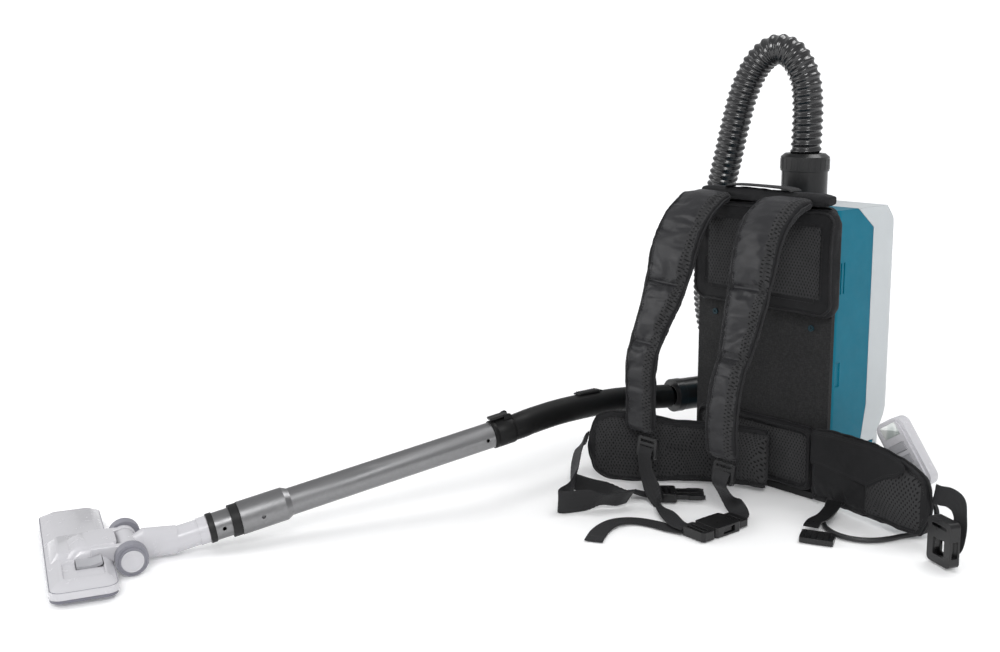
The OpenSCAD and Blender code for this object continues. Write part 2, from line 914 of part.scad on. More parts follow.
module control_cable() {
  color(black)
    round_route(cable_route, 3.5, 10, 3);
}

// ---- hose and wand ----

module hose_cuff() {
  color(black)
    translate([0, inlet_y, 0])
      difference() {
        union() {
          translate([0, 0, body_top + 4.4])
            cylinder(h = rim_z - body_top - 4, r = cuff_r);
          translate([0, 0, rim_z])
            cylinder(h = cuff_top - rim_z - 5, r = cuff_r + 2);
          translate([0, 0, cuff_top - 5])
            cylinder(h = 5, r1 = cuff_r + 2, r2 = cuff_r - 4);
          for (a = [0 : 15 : 345])
            rotate(a)
              translate([cuff_r - 0.6, -1.2, rim_z + 3])
                cube([3, 2.4, 15]);
        }
        translate([0, 0, body_top])
          cylinder(h = stub_top - body_top + 0.4, r = stub_r + shaft_gap);
        translate([0, 0, body_top])
          cylinder(h = 100, r = hose_r + 1);
      }
}

module hose() {
  color(black)
    round_route(hose_route, hose_r, 12, 3);
}

module handle_tube() {
  color(black)
    union() {
      round_route(handle_route, grip_r, 16, 3);
      at_wand(405)
        difference() {
          union() {
            cylinder(h = 34, r = grip_r + 1.4);
            for (sx = [-1, 1])
              block([sx * 8 - 1.2, -grip_r - 7.2, 22], [sx * 8 + 1.2, -grip_r, 32]);
          }
          translate([0, 0, -1])
            cylinder(h = 25, r = pipe_r + 0.05);
        }
      at_handle_end(-12)
        cylinder(h = 34, r = 15);
    }
}

module handle_cuff() {
  color(dark)
    at_handle_end(0)
      difference() {
        union() {
          cylinder(h = 62, r = hose_r + 2.4);
          cylinder(h = 14, r = hose_r + 3.4);
        }
        translate([0, 0, -1])
          cylinder(h = 25, r = 15 + shaft_gap);
        translate([0, 0, 23])
          cylinder(h = 60, r = hose_r + 0.8);
      }
}

module handle_slider() {
  color(dark)
    translate([-191, -180, 111])
      rotate([-3, 0, 4])
        translate([0, 0, grip_r + 0.4])
          union() {
            block([-6, -26, 0], [6, 26, 2.4]);
            for (k = [-4 : 4])
              block([-6, k * 5 - 1, 2], [6, k * 5 + 1, 3.6]);
          }
}

module handle_latch() {
  color(dark)
    at_wand(432)
      translate([0, -grip_r - 4.4, 0])
        union() {
          rotate([0, 90, 0])
            cylinder(h = 12, r = 2.4, center = true);
          block([-6, -2.4, -26], [6, 0.8, 0]);
        }
}

module outer_pipe() {
  color(metal)
    at_wand(0)
      difference() {
        union() {
          translate([0, 0, 42])
            cylinder(h = 60, r = socket_r);
          translate([0, 0, 102])
            cylinder(h = 8, r1 = socket_r, r2 = pipe_r);
          translate([0, 0, 102])
            cylinder(h = 325, r = pipe_r);
        }
        translate([0, 0, 40])
          cylinder(h = 64, r = spigot_r + shaft_gap);
        translate([0, 0, 100])
          cylinder(h = 330, r = pipe_r - 1.4);
        for (s = [70, 393])
          translate([10, 0, s])
            rotate([0, 90, 0])
              cylinder(h = 20, r = 2.6);
      }
}

module pipe_ring() {
  color(black)
    at_wand(30)
      difference() {
        cylinder(h = 11.7, r = socket_r - 0.8);
        translate([0, 0, -1])
          cylinder(h = 14, r = spigot_r + 0.4);
      }
}

module spigot() {
  color(metal)
    at_wand(-18)
      difference() {
        union() {
          cylinder(h = 30, r = 11);
          translate([0, 0, 18.4])
            cylinder(h = 8, r = spigot_r + 0.6);
          translate([0, 0, 26])
            cylinder(h = 94, r = spigot_r);
        }
        translate([0, 0, -1])
          cylinder(h = 130, r = 9);
        translate([0, 0, 34])
          cylinder(h = 100, r = spigot_r - 1.6);
        translate([10, 0, 37])
          rotate([0, 90, 0])
            cylinder(h = 20, r = 2.6);
      }
}

// ---- floor nozzle ----

module neck_elbow() {
  first = pivot_world();
  color(shell_white)
    difference() {
      union() {
        at_nozzle()
          translate(pivot)
            rotate([0, 90, 0])
              cylinder(h = 43, r = 14, center = true);
        neck_piece(first, bend_at, 12, 19.2, 18, 8);
        translate(bend_at)
          sphere(16.6);
        at_wand(-41)
          cylinder(h = 41, r = 16.5);
        at_wand(-12)
          cylinder(h = 12, r = 17.6);
      }
      at_wand(-19)
        cylinder(h = 30, r = 11 + shaft_gap);
      at_nozzle()
        translate(pivot)
          rotate([0, 90, 0])
            cylinder(h = 60, r = 4 + shaft_gap, center = true);
    }
}

function turn(v, a) = [v[0] * cos(a) - v[1] * sin(a), v[0] * sin(a) + v[1] * cos(a), v[2]];
function pivot_world() = nozzle_at + turn(pivot, -nozzle_yaw);

// a straight piece of the neck that starts narrow, swells and tapers to the end
module neck_piece(from, to, r0, r1, r2, swell) {
  d = to - from;
  translate(from)
    rotate([0, acos(d[2] / norm(d)), atan2(d[1], d[0])]) {
      cylinder(h = swell, r = r0);
      translate([0, 0, swell])
        cylinder(h = 12, r1 = r0, r2 = r1);
      translate([0, 0, swell + 12])
        cylinder(h = norm(d) - swell - 12, r1 = r1, r2 = r2);
    }
}

module nozzle_shell() {
  color(shell_white)
    at_nozzle()
      difference() {
        union() {
          rounded_block(nozzle_w - 8, nozzle_d - 8, 12, 18.2, 25);
          translate([15, 2, 0])
            rounded_block(76, 65, 14, 18.2, 29);
          translate([neck_x, 22, 0])
            rounded_block(66, 56, 14, 18.2, 38);
          for (sx = [-1, 1])
            along_x_cheek(neck_x + sx * 28.5);
          for (sx = [-1, 1])
            translate([neck_x + sx * 33, 60, wheel_r + 0.4])
              rotate([0, sx * 90, 0])
                cylinder(h = 22, r = 4);
        }
        translate(pivot)
          rotate([0, 90, 0])
            cylinder(h = 46, r = 19, center = true);
        translate([neck_x - 23, 30, 0])
          cube([46, 80, 60]);
        block([61, -24, 23.6], [114, 28, 30]);
        block([61.2, -6.2, 17], [88, 26, 30]);
      }
  color(shell_white)
    at_nozzle()
      for (sx = [-1, 1])
        translate(pivot + [sx * 26, 0, 0])
          rotate([0, -sx * 90, 0])
            cylinder(h = 12, r = 4);
}

module along_x_cheek(x) {
  along_x(x - 5, x + 5)
    union() {
      polygon([[20, 18.2], [58, 18.2], [58, 10], [70, 14], [73, 24], [66, 36], [40, 38], [20, 38]]);
    }
}

module nozzle_sole() {
  color(dark)
    at_nozzle()
      difference() {
        union() {
          rounded_block(nozzle_w, nozzle_d, 14, 5, 18);
          rounded_block(nozzle_w - 16, nozzle_d - 16, 12, 2.4, 6);
          for (sx = [-1, 1])
            translate([sx * 110, -24, 3.4])
              rotate([0, 90, 0])
                cylinder(h = 14, r = 3, center = true);
          for (y = [-16, 14])
            block([-118, y - 1.5, 0.8], [118, y + 1.5, 4]);
        }
        block([-122, -13, -1], [122, 11, 10]);
        translate([neck_x, 0, 9])
          cylinder(h = 12, r = 11);
        block([neck_x - 35, 26, -1], [neck_x + 35, 60, 20]);
      }
}

module nozzle_rocker() {
  color([0.62, 0.63, 0.65])
    at_nozzle()
      translate([74.6, 9.9, 22.6])
        union() {
          rotate([0, 90, 0])
            cylinder(h = 25, r = 3, center = true);
          along_x(-12.5, 12.5)
            polygon([[-15, 1], [-15, 4.5], [0, 3.2], [15, 6.5], [15, 3], [0, -2]]);
        }
}

module nozzle_wheel(sx) {
  color([0.60, 0.61, 0.63])
    at_nozzle()
      translate([neck_x + sx * 34.4, 60, wheel_r + 0.4])
        rotate([0, sx * 90, 0])
          difference() {
            union() {
              cylinder(h = 15, r = wheel_r);
              cylinder(h = 18, r = wheel_r - 4);
            }
            translate([0, 0, -1])
              cylinder(h = 23, r = 4 + shaft_gap);
            translate([0, 0, 13])
              cylinder(h = 8, r = 9);
          }
}

back_plate();
front_housing();
base_foot();
inlet_port();
bag_collar();
dust_bag();
filter_cassette();
motor_housing();
motor_core();
control_board();
battery_terminals();
exhaust_grille();
plate_screws();
rear_cover();
cover_latch();
impeller();
battery(-1);  // battery_left
battery(1);  // battery_right
battery_button(-1);  // battery_button_left
battery_button(1);  // battery_button_right
upper_back_pad();
lumbar_pad();
left_wing();
right_wing();
wing_flap();
top_yoke();
carry_handle();
strap_left();
strap_right();
strap_adjusters();
web_left();
web_right();
web_tail();
chest_buckle_socket();
chest_buckle_tongue();
waist_web_left();
waist_web_right();
waist_buckle_tongue();
waist_buckle_socket();
adjuster_tail();
controller_shell();
controller_window();
controller_button();
controller_rocker();
control_cable();
hose_cuff();
hose();
handle_tube();
handle_cuff();
handle_slider();
handle_latch();
outer_pipe();
pipe_ring();
spigot();
neck_elbow();
nozzle_shell();
nozzle_sole();
nozzle_rocker();
nozzle_wheel(-1);  // nozzle_wheel_left
nozzle_wheel(1);  // nozzle_wheel_right
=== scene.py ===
"""Looks of the cordless backpack vacuum cleaner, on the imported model's frame."""

import math

import bpy
import numpy as np
from mathutils import Matrix, Vector, noise
from mathutils.bvhtree import BVHTree


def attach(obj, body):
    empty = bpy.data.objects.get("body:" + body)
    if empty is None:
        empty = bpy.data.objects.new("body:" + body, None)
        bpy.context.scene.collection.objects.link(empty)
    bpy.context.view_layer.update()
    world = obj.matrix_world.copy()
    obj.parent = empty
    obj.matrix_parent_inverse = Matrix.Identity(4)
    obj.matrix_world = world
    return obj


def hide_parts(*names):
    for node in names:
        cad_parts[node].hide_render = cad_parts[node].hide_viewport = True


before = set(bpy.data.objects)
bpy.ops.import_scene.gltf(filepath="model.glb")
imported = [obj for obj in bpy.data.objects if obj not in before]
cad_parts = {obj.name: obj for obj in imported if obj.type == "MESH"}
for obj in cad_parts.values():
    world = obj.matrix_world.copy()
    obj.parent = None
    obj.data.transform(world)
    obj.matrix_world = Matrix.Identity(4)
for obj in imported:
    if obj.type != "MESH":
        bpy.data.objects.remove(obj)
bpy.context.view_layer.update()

PACK = "pack"

# ---- sizes (millimetres)

MM = 0.001  # in metres, the scene's unit
PAD_BACK = -8.5
PAD_FRONT = -27.5
HOSE_RADIUS = 23.0
HOSE_VALLEY = 19.8
HOSE_PITCH = 10.5
CABLE_RADIUS = 3.5
GRIP_RADIUS = 18.6
WEB = 25.0
WEB_THICK = 1.8
BELT = 32.0
HEM = 14.0
FLOOR_GAP = 0.6  # the least height of webbing
STRAP_THICK = 18.0
WING_THICK = 25.0
BORDER = 9.0
WING_BORDER = 9.5
STITCH_SIDES = 6
PIPING_SIDES = 12
PIPING_GAP = 2.5

WAND_AT = Vector((-309.3, -757.1, 28.0))
WAND_YAW = math.radians(18.1)
WAND_PITCH = math.radians(11.01)
NOZZLE_AT = Vector((-385, -900, 0))
NOZZLE_YAW = math.radians(18.3)
NECK_X = 27.0
CHEEK_X = 28.5
COLLAR_AT = 405.0
WHEEL_AXLE = (60, 20.4)
NECK_PIVOT = (58, 22)

# the same routes as the CAD model's, along each centre line
HOSE_ROUTE = [
    (0, 87, 446), (0, 87, 480), (2, 86, 520), (3, 84, 566), (-3, 82, 607),
    (-24, 79, 639), (-53, 77, 646.5), (-82, 74, 626), (-103, 71, 586), (-118, 70, 535),
    (-133, 72, 480), (-153, 79, 420), (-176, 92, 352), (-196, 108, 288), (-207, 124, 230),
    (-208, 138, 182), (-197, 142, 146), (-180, 128, 117), (-166, 102, 102), (-159, 76, 97.5),
    (-160, 59.9, 97), (-163.8, 45.4, 97), (-167.5, 31.9, 97),
]
CABLE_ROUTE = [
    (149, -39.8, 17), (151, -48, 13), (156, -62, 6), (167, -84, 4), (185, -103, 4),
    (209, -112, 4), (232, -108, 4), (250, -93, 4), (261, -72, 4), (268, -50, 4),
    (275, -32, 4.2), (284, -17, 9), (289, -6, 20), (285.5, -1, 34), (275.9, 0, 47.3),
    (267.4, 0, 59.45), (261.9, 0, 67.2),
]
HANDLE_ROUTE = [
    (-177.4, -354.3, 110.4), (-174.2, -344.5, 112.4), (-173.4, -329, 114.2), (-176, -310, 115),
    (-183, -250, 115), (-191, -180, 111), (-194, -110, 106), (-189, -50, 100), (-180.3, -16, 97.4),
    (-178, -7.5, 97),
]


# ---- geometry helpers

def spline(route, steps):
    """Points on a smooth curve through a route's points."""
    pts = [Vector(p) for p in route]
    made = []
    for i in range(len(pts) - 1):
        a, b = pts[max(i - 1, 0)], pts[i]
        c, d = pts[i + 1], pts[min(i + 2, len(pts) - 1)]
        for k in range(steps):
            t = k / steps
            made.append(0.5 * (2 * b + (c - a) * t + (2 * a - 5 * b + 4 * c - d) * t * t
                               + (3 * b - a - 3 * c + d) * t ** 3))
    made.append(pts[-1])
    return made


def stations(path):
    """The length along a path at each of its points."""
    at = [0.0]
    for a, b in zip(path, path[1:]):
        at.append(at[-1] + (b - a).length)
    return at


def even(path, gap):
    """The same path with points an even gap apart."""
    at = stations(path)
    count = max(2, round(at[-1] / gap))
    made = []
    k = 0
    for i in range(count + 1):
        s = at[-1] * i / count
        while k < len(path) - 2 and at[k + 1] < s:
            k += 1
        span = max(at[k + 1] - at[k], 1e-9)
        made.append(path[k].lerp(path[k + 1], (s - at[k]) / span))
    return made


def length_of(path):
    return stations(path)[-1]


def headings(path):
    last = len(path) - 1
    return [(path[min(i + 1, last)] - path[max(i - 1, 0)]).normalized() for i in range(last + 1)]


def carried(path):
    """A side direction at each point, carried along the path without twist."""
    sides = []
    side = Vector((1, 0.1, 0.1))  # no path starts this way
    for d in headings(path):
        side = (side - side.dot(d) * d).normalized()
        sides.append(side)
    return sides


def mesh_object(name, verts, faces, material, smooth=True):
    """A new piece from points in millimetres."""
    mesh = bpy.data.meshes.new(name)
    mesh.from_pydata([Vector(v) * MM for v in verts], [], faces)
    mesh.update()
    piece = bpy.data.objects.new(name, mesh)
    bpy.context.collection.objects.link(piece)
    mesh.materials.append(material)
    if smooth:
        mesh.shade_smooth()
    return piece


def sleeve(rings, base=0):
    """Faces over equal rings of points, closed at both ends; base is the first point's number."""
    sides = len(rings[0])
    last = base + (len(rings) - 1) * sides
    faces = []
    for i in range(base, last, sides):
        for j in range(sides):
            k = (j + 1) % sides
            faces.append((i + j, i + k, i + sides + k, i + sides + j))
    return faces + [tuple(range(base + sides - 1, base - 1, -1)), tuple(range(last, last + sides))]


def skin(name, rings, material, smooth=True):
    """A closed skin over equal rings of points."""
    return mesh_object(name, [p for ring in rings for p in ring], sleeve(rings), material, smooth)


def circle(sides, radius, centre=(0, 0)):
    """Pairs round a circle."""
    turns = [math.tau * j / sides for j in range(sides)]
    return [(centre[0] + radius * math.cos(a), centre[1] + radius * math.sin(a)) for a in turns]


def rod(name, ends, radius, centre, material, sides=32):
    """A round bar along X, between two ends and about a centre (y, z)."""
    rings = [[Vector((x, y, z)) for y, z in circle(sides, radius, centre)] for x in ends]
    return skin(name, rings, material)


def round_box(cx, cy, w, d, r, per=6):
    """Pairs round a rectangle with rounded corners, with so many steps to each corner."""
    pts = []
    for qx, qy, start in ((1, 1, 0), (-1, 1, 90), (-1, -1, 180), (1, -1, 270)):
        for k in range(per + 1):
            a = math.radians(start + 90 * k / per)
            pts.append((cx + qx * (w / 2 - r) + r * math.cos(a),
                        cy + qy * (d / 2 - r) + r * math.sin(a)))
    return pts


def tube(name, path, radius, material, sides=24):
    """A round tube; radius is a function of the length along, the angle and the direction out."""
    turns = [math.tau * j / sides for j in range(sides)]
    rings = []
    for p, d, u, at in zip(path, headings(path), carried(path), stations(path)):
        v = d.cross(u)
        ways = [(a, math.cos(a) * u + math.sin(a) * v) for a in turns]
        rings.append([p + radius(at, a, way) * way for a, way in ways])
    return skin(name, rings, material)


def select(*pieces):
    bpy.ops.object.select_all(action="DESELECT")
    for p in pieces:
        p.select_set(True)
    bpy.context.view_layer.objects.active = pieces[0]


def join(name, pieces):
    """One object from several; the first piece's materials come first."""
    select(*pieces)
    bpy.ops.object.join()
    made = bpy.context.view_layer.objects.active
    made.name = name
    made.data.name = name
    return made


def bake(piece):
    """Apply the piece's modifiers."""
    select(piece)
    for m in list(piece.modifiers):
        bpy.ops.object.modifier_apply(modifier=m.name)


def refine(piece):
    """Apply one level of subdivision."""
    m = piece.modifiers.new("refine", "SUBSURF")
    m.levels = m.render_levels = 1
    bake(piece)


def round_edges(piece, width, segments=3):
    m = piece.modifiers.new("round", "BEVEL")
    m.width = width * MM
    m.segments = segments
    m.limit_method = "ANGLE"
    m.angle_limit = math.radians(35)
    bake(piece)
    piece.data.shade_smooth()
    return piece


def boolean(piece, cutter):
    """Cut a piece by another, which is used up."""
    m = piece.modifiers.new("cut", "BOOLEAN")
    m.solver = "EXACT"
    m.object = cutter
    bake(piece)
    bpy.data.objects.remove(cutter)


def points_of(piece):
    """The mesh's points in millimetres, as an array."""
    co = np.empty(len(piece.data.vertices) * 3)
    piece.data.vertices.foreach_get("co", co)
    return co.reshape(-1, 3) * 1000


def set_points(piece, co):
    piece.data.vertices.foreach_set("co", (co * MM).ravel())
    piece.data.update()


def weave(piece, along, across):
    """Lay the weave of a fabric along the piece's own two directions, in millimetres."""
    for name, values in (("weave_a", along), ("weave_b", across)):
        layer = piece.data.attributes.new(name, "FLOAT", "POINT")
        layer.data.foreach_set("value", np.asarray(values, dtype=np.float32))


def enter(piece, node=None, body=PACK):
    """Hide the CAD node that a piece stands for, and attach the piece to its body."""
    if node:
        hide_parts(node)
    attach(piece, body)


# ---- materials

class Shade:
    """A material's nodes, made one at a time."""

    def __init__(self, name):
        self.material = bpy.data.materials.new(name)
        self.material.use_nodes = True
        self.tree = self.material.node_tree
        self.tree.nodes.clear()
        self.out = self.tree.nodes.new("ShaderNodeOutputMaterial")
        self.skin = self.tree.nodes.new("ShaderNodeBsdfPrincipled")
        self.link(self.skin.outputs[0], self.out.inputs[0])

    def link(self, a, b):
        self.tree.links.new(a, b)

    def put(self, socket, value):
        """A constant on a socket, or a link into it."""
        if isinstance(value, bpy.types.NodeSocket):
            self.link(value, socket)
        elif hasattr(value, "__len__") and len(value) == 3 and socket.type == "RGBA":
            socket.default_value = (*value, 1)
        else:
            socket.default_value = value

    def node(self, kind, out=0, settings=None, **sockets):
        """A new node's output; i0, i1 and so on are inputs by number, others are by name."""
        n = self.tree.nodes.new("ShaderNode" + kind)
        for key, value in (settings or {}).items():
            setattr(n, key, value)
        for key, value in sockets.items():
            by_number = key[0] == "i" and key[1:].isdigit()
            self.put(n.inputs[int(key[1:]) if by_number else key.replace("_", " ")], value)
        return n.outputs[out]

    def math(self, op, a, b=0.0, c=0.0):
        return self.node("Math", settings={"operation": op}, i0=a, i1=b, i2=c)

    def plus(self, a, b):
        return self.math("ADD", a, b)

    def times(self, a, b):
        return self.math("MULTIPLY", a, b)

    def mix(self, factor, a, b):
        return self.node("Mix", out=2, settings={"data_type": "RGBA"}, i0=factor, i6=a, i7=b)

    def ramp(self, value, low, high, a=0.0, b=1.0):
        return self.node("MapRange", Value=value, From_Min=low, From_Max=high, To_Min=a, To_Max=b)

    def place(self):
        return self.node("TexCoord", out=3)

    def layer(self, name):
        return self.node("Attribute", out=2, settings={"attribute_name": name})

    def noise(self, scale, detail, rough, where=None):
        return self.node("TexNoise", Vector=where or self.place(), Scale=scale, Detail=detail,
                         Roughness=rough)

    def voronoi(self, scale):
        return self.node("TexVoronoi", Vector=self.place(), Scale=scale)

    def stretch(self, x, y, z):
        return self.node("Mapping", Vector=self.place(), Scale=(x, y, z))

    def bump(self, height, distance_mm, strength=1.0, normal=None):
        made = self.node("Bump", Height=height, Distance=distance_mm * MM, Strength=strength)
        if normal is not None:
            self.link(normal, made.node.inputs["Normal"])
        return made

    def soft_edge(self, radius_mm):
        return self.node("Bevel", settings={"samples": 6}, Radius=radius_mm * MM)

    def edge_mask(self, radius_mm):
        """1 along sharp edges, 0 on flat faces."""
        plain = self.node("NewGeometry", out=1)
        dot = self.node("VectorMath", out=1, settings={"operation": "DOT_PRODUCT"},
                        i0=self.soft_edge(radius_mm), i1=plain)
        return self.ramp(dot, 0.995, 0.80)

    def clouded(self, base, other, mask, low, high, most):
        """The base colour, with up to so much of another where a mask goes from low to high."""
        return self.mix(self.ramp(mask, low, high, 0.0, most), base, other)

    def finish(self, **sockets):
        """Set the shader's sockets."""
        for key, value in sockets.items():
            self.put(self.skin.inputs[key.replace("_", " ")], value)
        return self.material


def dim(color, factor, lift=0.0):
    """A colour made darker or lighter, and lifted by an even amount."""
    return [min(1.0, c * factor + lift) for c in color]


def wave(s, value, per_mm):
    """A sine of an attribute in millimetres, from 0 to 1, with that many periods a millimetre."""
    turned = s.math("SINE", s.times(value, math.tau * per_mm))
    return s.math("MULTIPLY_ADD", turned, 0.5, 0.5)


def moulded(name, color, rough, grain_mm, grain, edge, wear=0.08, coat=0.0, blotch=0.06, gloss=0.45):
    """Moulded plastic: fine grain, slight cloudiness and, unless edge is 0, soft worn edges."""
    s = Shade(name)
    cloud = s.noise(14, 4, 0.6)
    fine = s.noise(1000 / grain_mm / 2.2, 2, 0.5)
    scuff = s.noise(60, 6, 0.7)
    base = s.mix(s.ramp(cloud, 0.3, 0.7), dim(color, 1 - blotch), dim(color, 1 + blotch, 0.002))
    if edge:
        worn = s.times(s.edge_mask(edge), s.ramp(scuff, 0.35, 0.7, 0.0, wear))
        base = s.mix(worn, base, dim(color, 1.6, 0.05))
    bump = s.bump(fine, grain, 0.7, s.soft_edge(edge) if edge else None)
    return s.finish(Base_Color=base, Roughness=s.ramp(scuff, 0.3, 0.75, rough - 0.05, rough + 0.07),
                    Normal=bump, Coat_Weight=coat, Coat_Roughness=0.12, Specular_IOR_Level=gloss)


def board_grain(name, color):
    """The back plate's embossed fabric-like board."""
    s = Shade(name)
    cells = s.voronoi(520)
    weave_x = s.noise(900, 1, 0.5, s.stretch(1, 1, 0.18))
    weave_z = s.noise(900, 1, 0.5, s.stretch(0.18, 1, 1))
    height = s.plus(s.times(cells, 0.5), s.plus(weave_x, weave_z))
    cloud = s.noise(25, 5, 0.6)
    base = s.mix(cloud, dim(color, 0.75), dim(color, 1.3))
    base = s.clouded(base, dim(color, 1.9, 0.01), height, 1.1, 1.5, 0.5)
    return s.finish(Base_Color=base, Roughness=s.ramp(cloud, 0.3, 0.7, 0.68, 0.85),
                    Specular_IOR_Level=0.3, Normal=s.bump(height, 0.35, 0.9, s.soft_edge(1.2)))


def brushed(name, color, rough, along=(1, 1, 1), scale=900):
    """Satin anodised aluminium with fine drawing lines."""
    s = Shade(name)
    lines = s.noise(scale, 3, 0.6, s.stretch(*along))
    cloud = s.noise(9, 5, 0.6)
    base = s.mix(s.ramp(cloud, 0.3, 0.7), dim(color, 0.93), color)
    base = s.clouded(base, dim(color, 0.7), lines, 0.4, 0.7, 0.14)
    return s.finish(Base_Color=base, Metallic=1.0, Anisotropic=0.35,
                    Roughness=s.ramp(lines, 0.3, 0.7, rough - 0.05, rough + 0.10),
                    Normal=s.bump(lines, 0.02, 0.5, s.soft_edge(0.4)))


def spacer_mesh(name, color):
    """Padded air mesh: staggered rows of diamond holes with painted shade in them, over the lit yarn's
    colour.
    """
    hole_mm, slant = 5.2, 0.62
    s = Shade(name)
    a, b = s.layer("weave_a"), s.layer("weave_b")
    plus = s.plus(a, s.times(b, slant))
    minus = s.math("SUBTRACT", a, s.times(b, slant))
    holes = s.times(wave(s, plus, 1 / hole_mm), wave(s, minus, 1 / hole_mm))
    yarn = s.noise(1500, 2, 0.6)
    open_hole = s.ramp(holes, 0.30, 0.62)
    cloud = s.noise(30, 4, 0.6)
    lit = s.mix(yarn, dim(color, 0.8), dim(color, 1.5, 0.004))
    lit = s.clouded(lit, dim(color, 0.7), cloud, 0.3, 0.7, 0.35)
    # painted shade: the open holes take 0.18 of the yarn's colour, for the shade inside them
    base = s.mix(open_hole, lit, dim(color, 0.18))
    height = s.math("SUBTRACT", s.times(yarn, 0.25), open_hole)
    return s.finish(Base_Color=base, Roughness=0.9, Normal=s.bump(height, 0.9, 0.85),
                    Specular_IOR_Level=0.25, Sheen_Weight=0.06, Sheen_Roughness=0.5,
                    Sheen_Tint=(0.5, 0.5, 0.55))


def woven(name, color, thread_mm, rough, sheen, depth, twill=0.0, gloss=0.3):
    """Plain or twill weave of nylon yarn, laid along the piece's own two directions."""
    s = Shade(name)
    a = s.layer("weave_a")
    b = s.plus(s.layer("weave_b"), s.times(a, twill))
    warp, weft = wave(s, a, 1 / thread_mm), wave(s, b, 1 / thread_mm)
    over = s.math("MAXIMUM", s.times(warp, s.math("SUBTRACT", 1.0, weft)),
                  s.times(weft, s.math("SUBTRACT", 1.0, warp)))
    fibre = s.noise(2200, 2, 0.6)
    cloud = s.noise(35, 5, 0.65)
    height = s.plus(over, s.times(fibre, 0.35))
    base = s.mix(s.ramp(over, 0.1, 0.8), dim(color, 0.65), dim(color, 1.25))
    base = s.clouded(base, dim(color, 0.72), cloud, 0.25, 0.75, 0.4)
    return s.finish(Base_Color=base, Roughness=s.ramp(cloud, 0.3, 0.7, rough - 0.06, rough + 0.08),
                    Normal=s.bump(height, depth, 0.8), Sheen_Weight=sheen * 0.3, Sheen_Roughness=0.4,
                    Sheen_Tint=(0.6, 0.6, 0.66), Specular_IOR_Level=gloss)


def webbing(name, color):
    """Strapping: fine ribs across and a herringbone of yarn."""
    s = Shade(name)
    a, b = s.layer("weave_a"), s.layer("weave_b")
    zig = s.math("ABSOLUTE", s.math("SUBTRACT", s.math("FRACT", s.math("DIVIDE", b, 6.0)), 0.5))
    ribs = wave(s, s.plus(a, s.times(zig, 5.0)), 1 / 1.5)
    yarn = wave(s, b, 1 / 1.1)
    fibre = s.noise(2000, 2, 0.6)
    height = s.plus(s.times(ribs, 0.7), s.times(yarn, 0.3))
    height = s.plus(height, s.times(fibre, 0.3))
    cloud = s.noise(40, 4, 0.6)
    base = s.mix(s.ramp(height, 0.2, 1.0), dim(color, 0.6), dim(color, 1.35))
    base = s.clouded(base, dim(color, 0.75), cloud, 0.3, 0.7, 0.3)
    return s.finish(Base_Color=base, Roughness=0.66, Normal=s.bump(height, 0.22, 0.9),
                    Specular_IOR_Level=0.3, Sheen_Weight=0.05, Sheen_Tint=(0.6, 0.6, 0.65))


def thread(name, color):
    s = Shade(name)
    twist = s.noise(1800, 2, 0.5)
    base = s.mix(twist, dim(color, 0.7), dim(color, 1.3))
    return s.finish(Base_Color=base, Roughness=0.6, Normal=s.bump(twist, 0.1, 0.8),
                    Specular_IOR_Level=0.2)


def rubbery(name, color, rough):
    s = Shade(name)
    fine = s.noise(1400, 3, 0.6)
    dust = s.noise(45, 6, 0.7)
    base = s.clouded(color, dim(color, 1.6, 0.02), dust, 0.45, 0.8, 0.25)
    return s.finish(Base_Color=base, Roughness=s.ramp(dust, 0.3, 0.8, rough, rough + 0.15),
                    Normal=s.bump(fine, 0.05, 0.6, s.soft_edge(0.8)))


def hose_plastic(name, color):
    """Glossy blow-moulded hose with faint moulding streaks."""
    s = Shade(name)
    streak = s.noise(160, 4, 0.6)
    dust = s.noise(22, 5, 0.7)
    base = s.clouded(color, dim(color, 1.8, 0.012), dust, 0.45, 0.8, 0.2)
    return s.finish(Base_Color=base, Roughness=s.ramp(streak, 0.3, 0.7, 0.16, 0.30),
                    Normal=s.bump(streak, 0.12, 0.5), Coat_Weight=0.3, Coat_Roughness=0.08)


def paper(name, color, fibre_scale=700):
    s = Shade(name)
    fibre = s.noise(fibre_scale, 5, 0.7)
    cloud = s.noise(30, 4, 0.6)
    base = s.mix(fibre, dim(color, 0.82), color)
    base = s.clouded(base, dim(color, 0.9), cloud, 0.3, 0.7, 0.3)
    return s.finish(Base_Color=base, Roughness=0.9, Normal=s.bump(fibre, 0.25, 0.7), Sheen_Weight=0.2)


def lens(name):
    s = Shade(name)
    haze = s.noise(300, 3, 0.6)
    bands = s.ramp(s.noise(120, 1, 0.3, s.stretch(1, 1, 0.2)), 0.4, 0.6)
    base = s.mix(bands, (0.55, 0.60, 0.58), (0.86, 0.88, 0.86))
    return s.finish(Base_Color=base, Roughness=s.ramp(haze, 0.3, 0.7, 0.05, 0.14), Metallic=0.35,
                    Coat_Weight=0.8, Coat_Roughness=0.03)


TEAL = moulded("housing_teal", (0.0, 0.135, 0.205), 0.42, 0.8, 0.03, 2.0, 0.02, gloss=0.14)
SCREW = moulded("screw_teal", (0.002, 0.022, 0.032), 0.4, 0.5, 0.05, 0.4, 0.1, gloss=0.3)
WHITE = moulded("cover_white", (0.50, 0.53, 0.545), 0.38, 0.8, 0.03, 2.4, 0.05, coat=0.1, blotch=0.03)
PLATE = board_grain("plate_black", (0.011, 0.011, 0.0115))
FRAME = moulded("frame_black", (0.009, 0.009, 0.0095), 0.48, 0.7, 0.06, 0.8, 0.06, gloss=0.3)
BUCKLE = moulded("buckle_black", (0.008, 0.008, 0.0085), 0.30, 0.5, 0.03, 0.9, 0.1, coat=0.1, gloss=0.35)
PORT = moulded("port_black", (0.010, 0.010, 0.0105), 0.32, 0.6, 0.04, 0.9, 0.06, coat=0.1, gloss=0.35)
HANDLE = moulded("handle_black", (0.005, 0.005, 0.0052), 0.44, 0.6, 0.07, 0.9, 0.02, gloss=0.16)
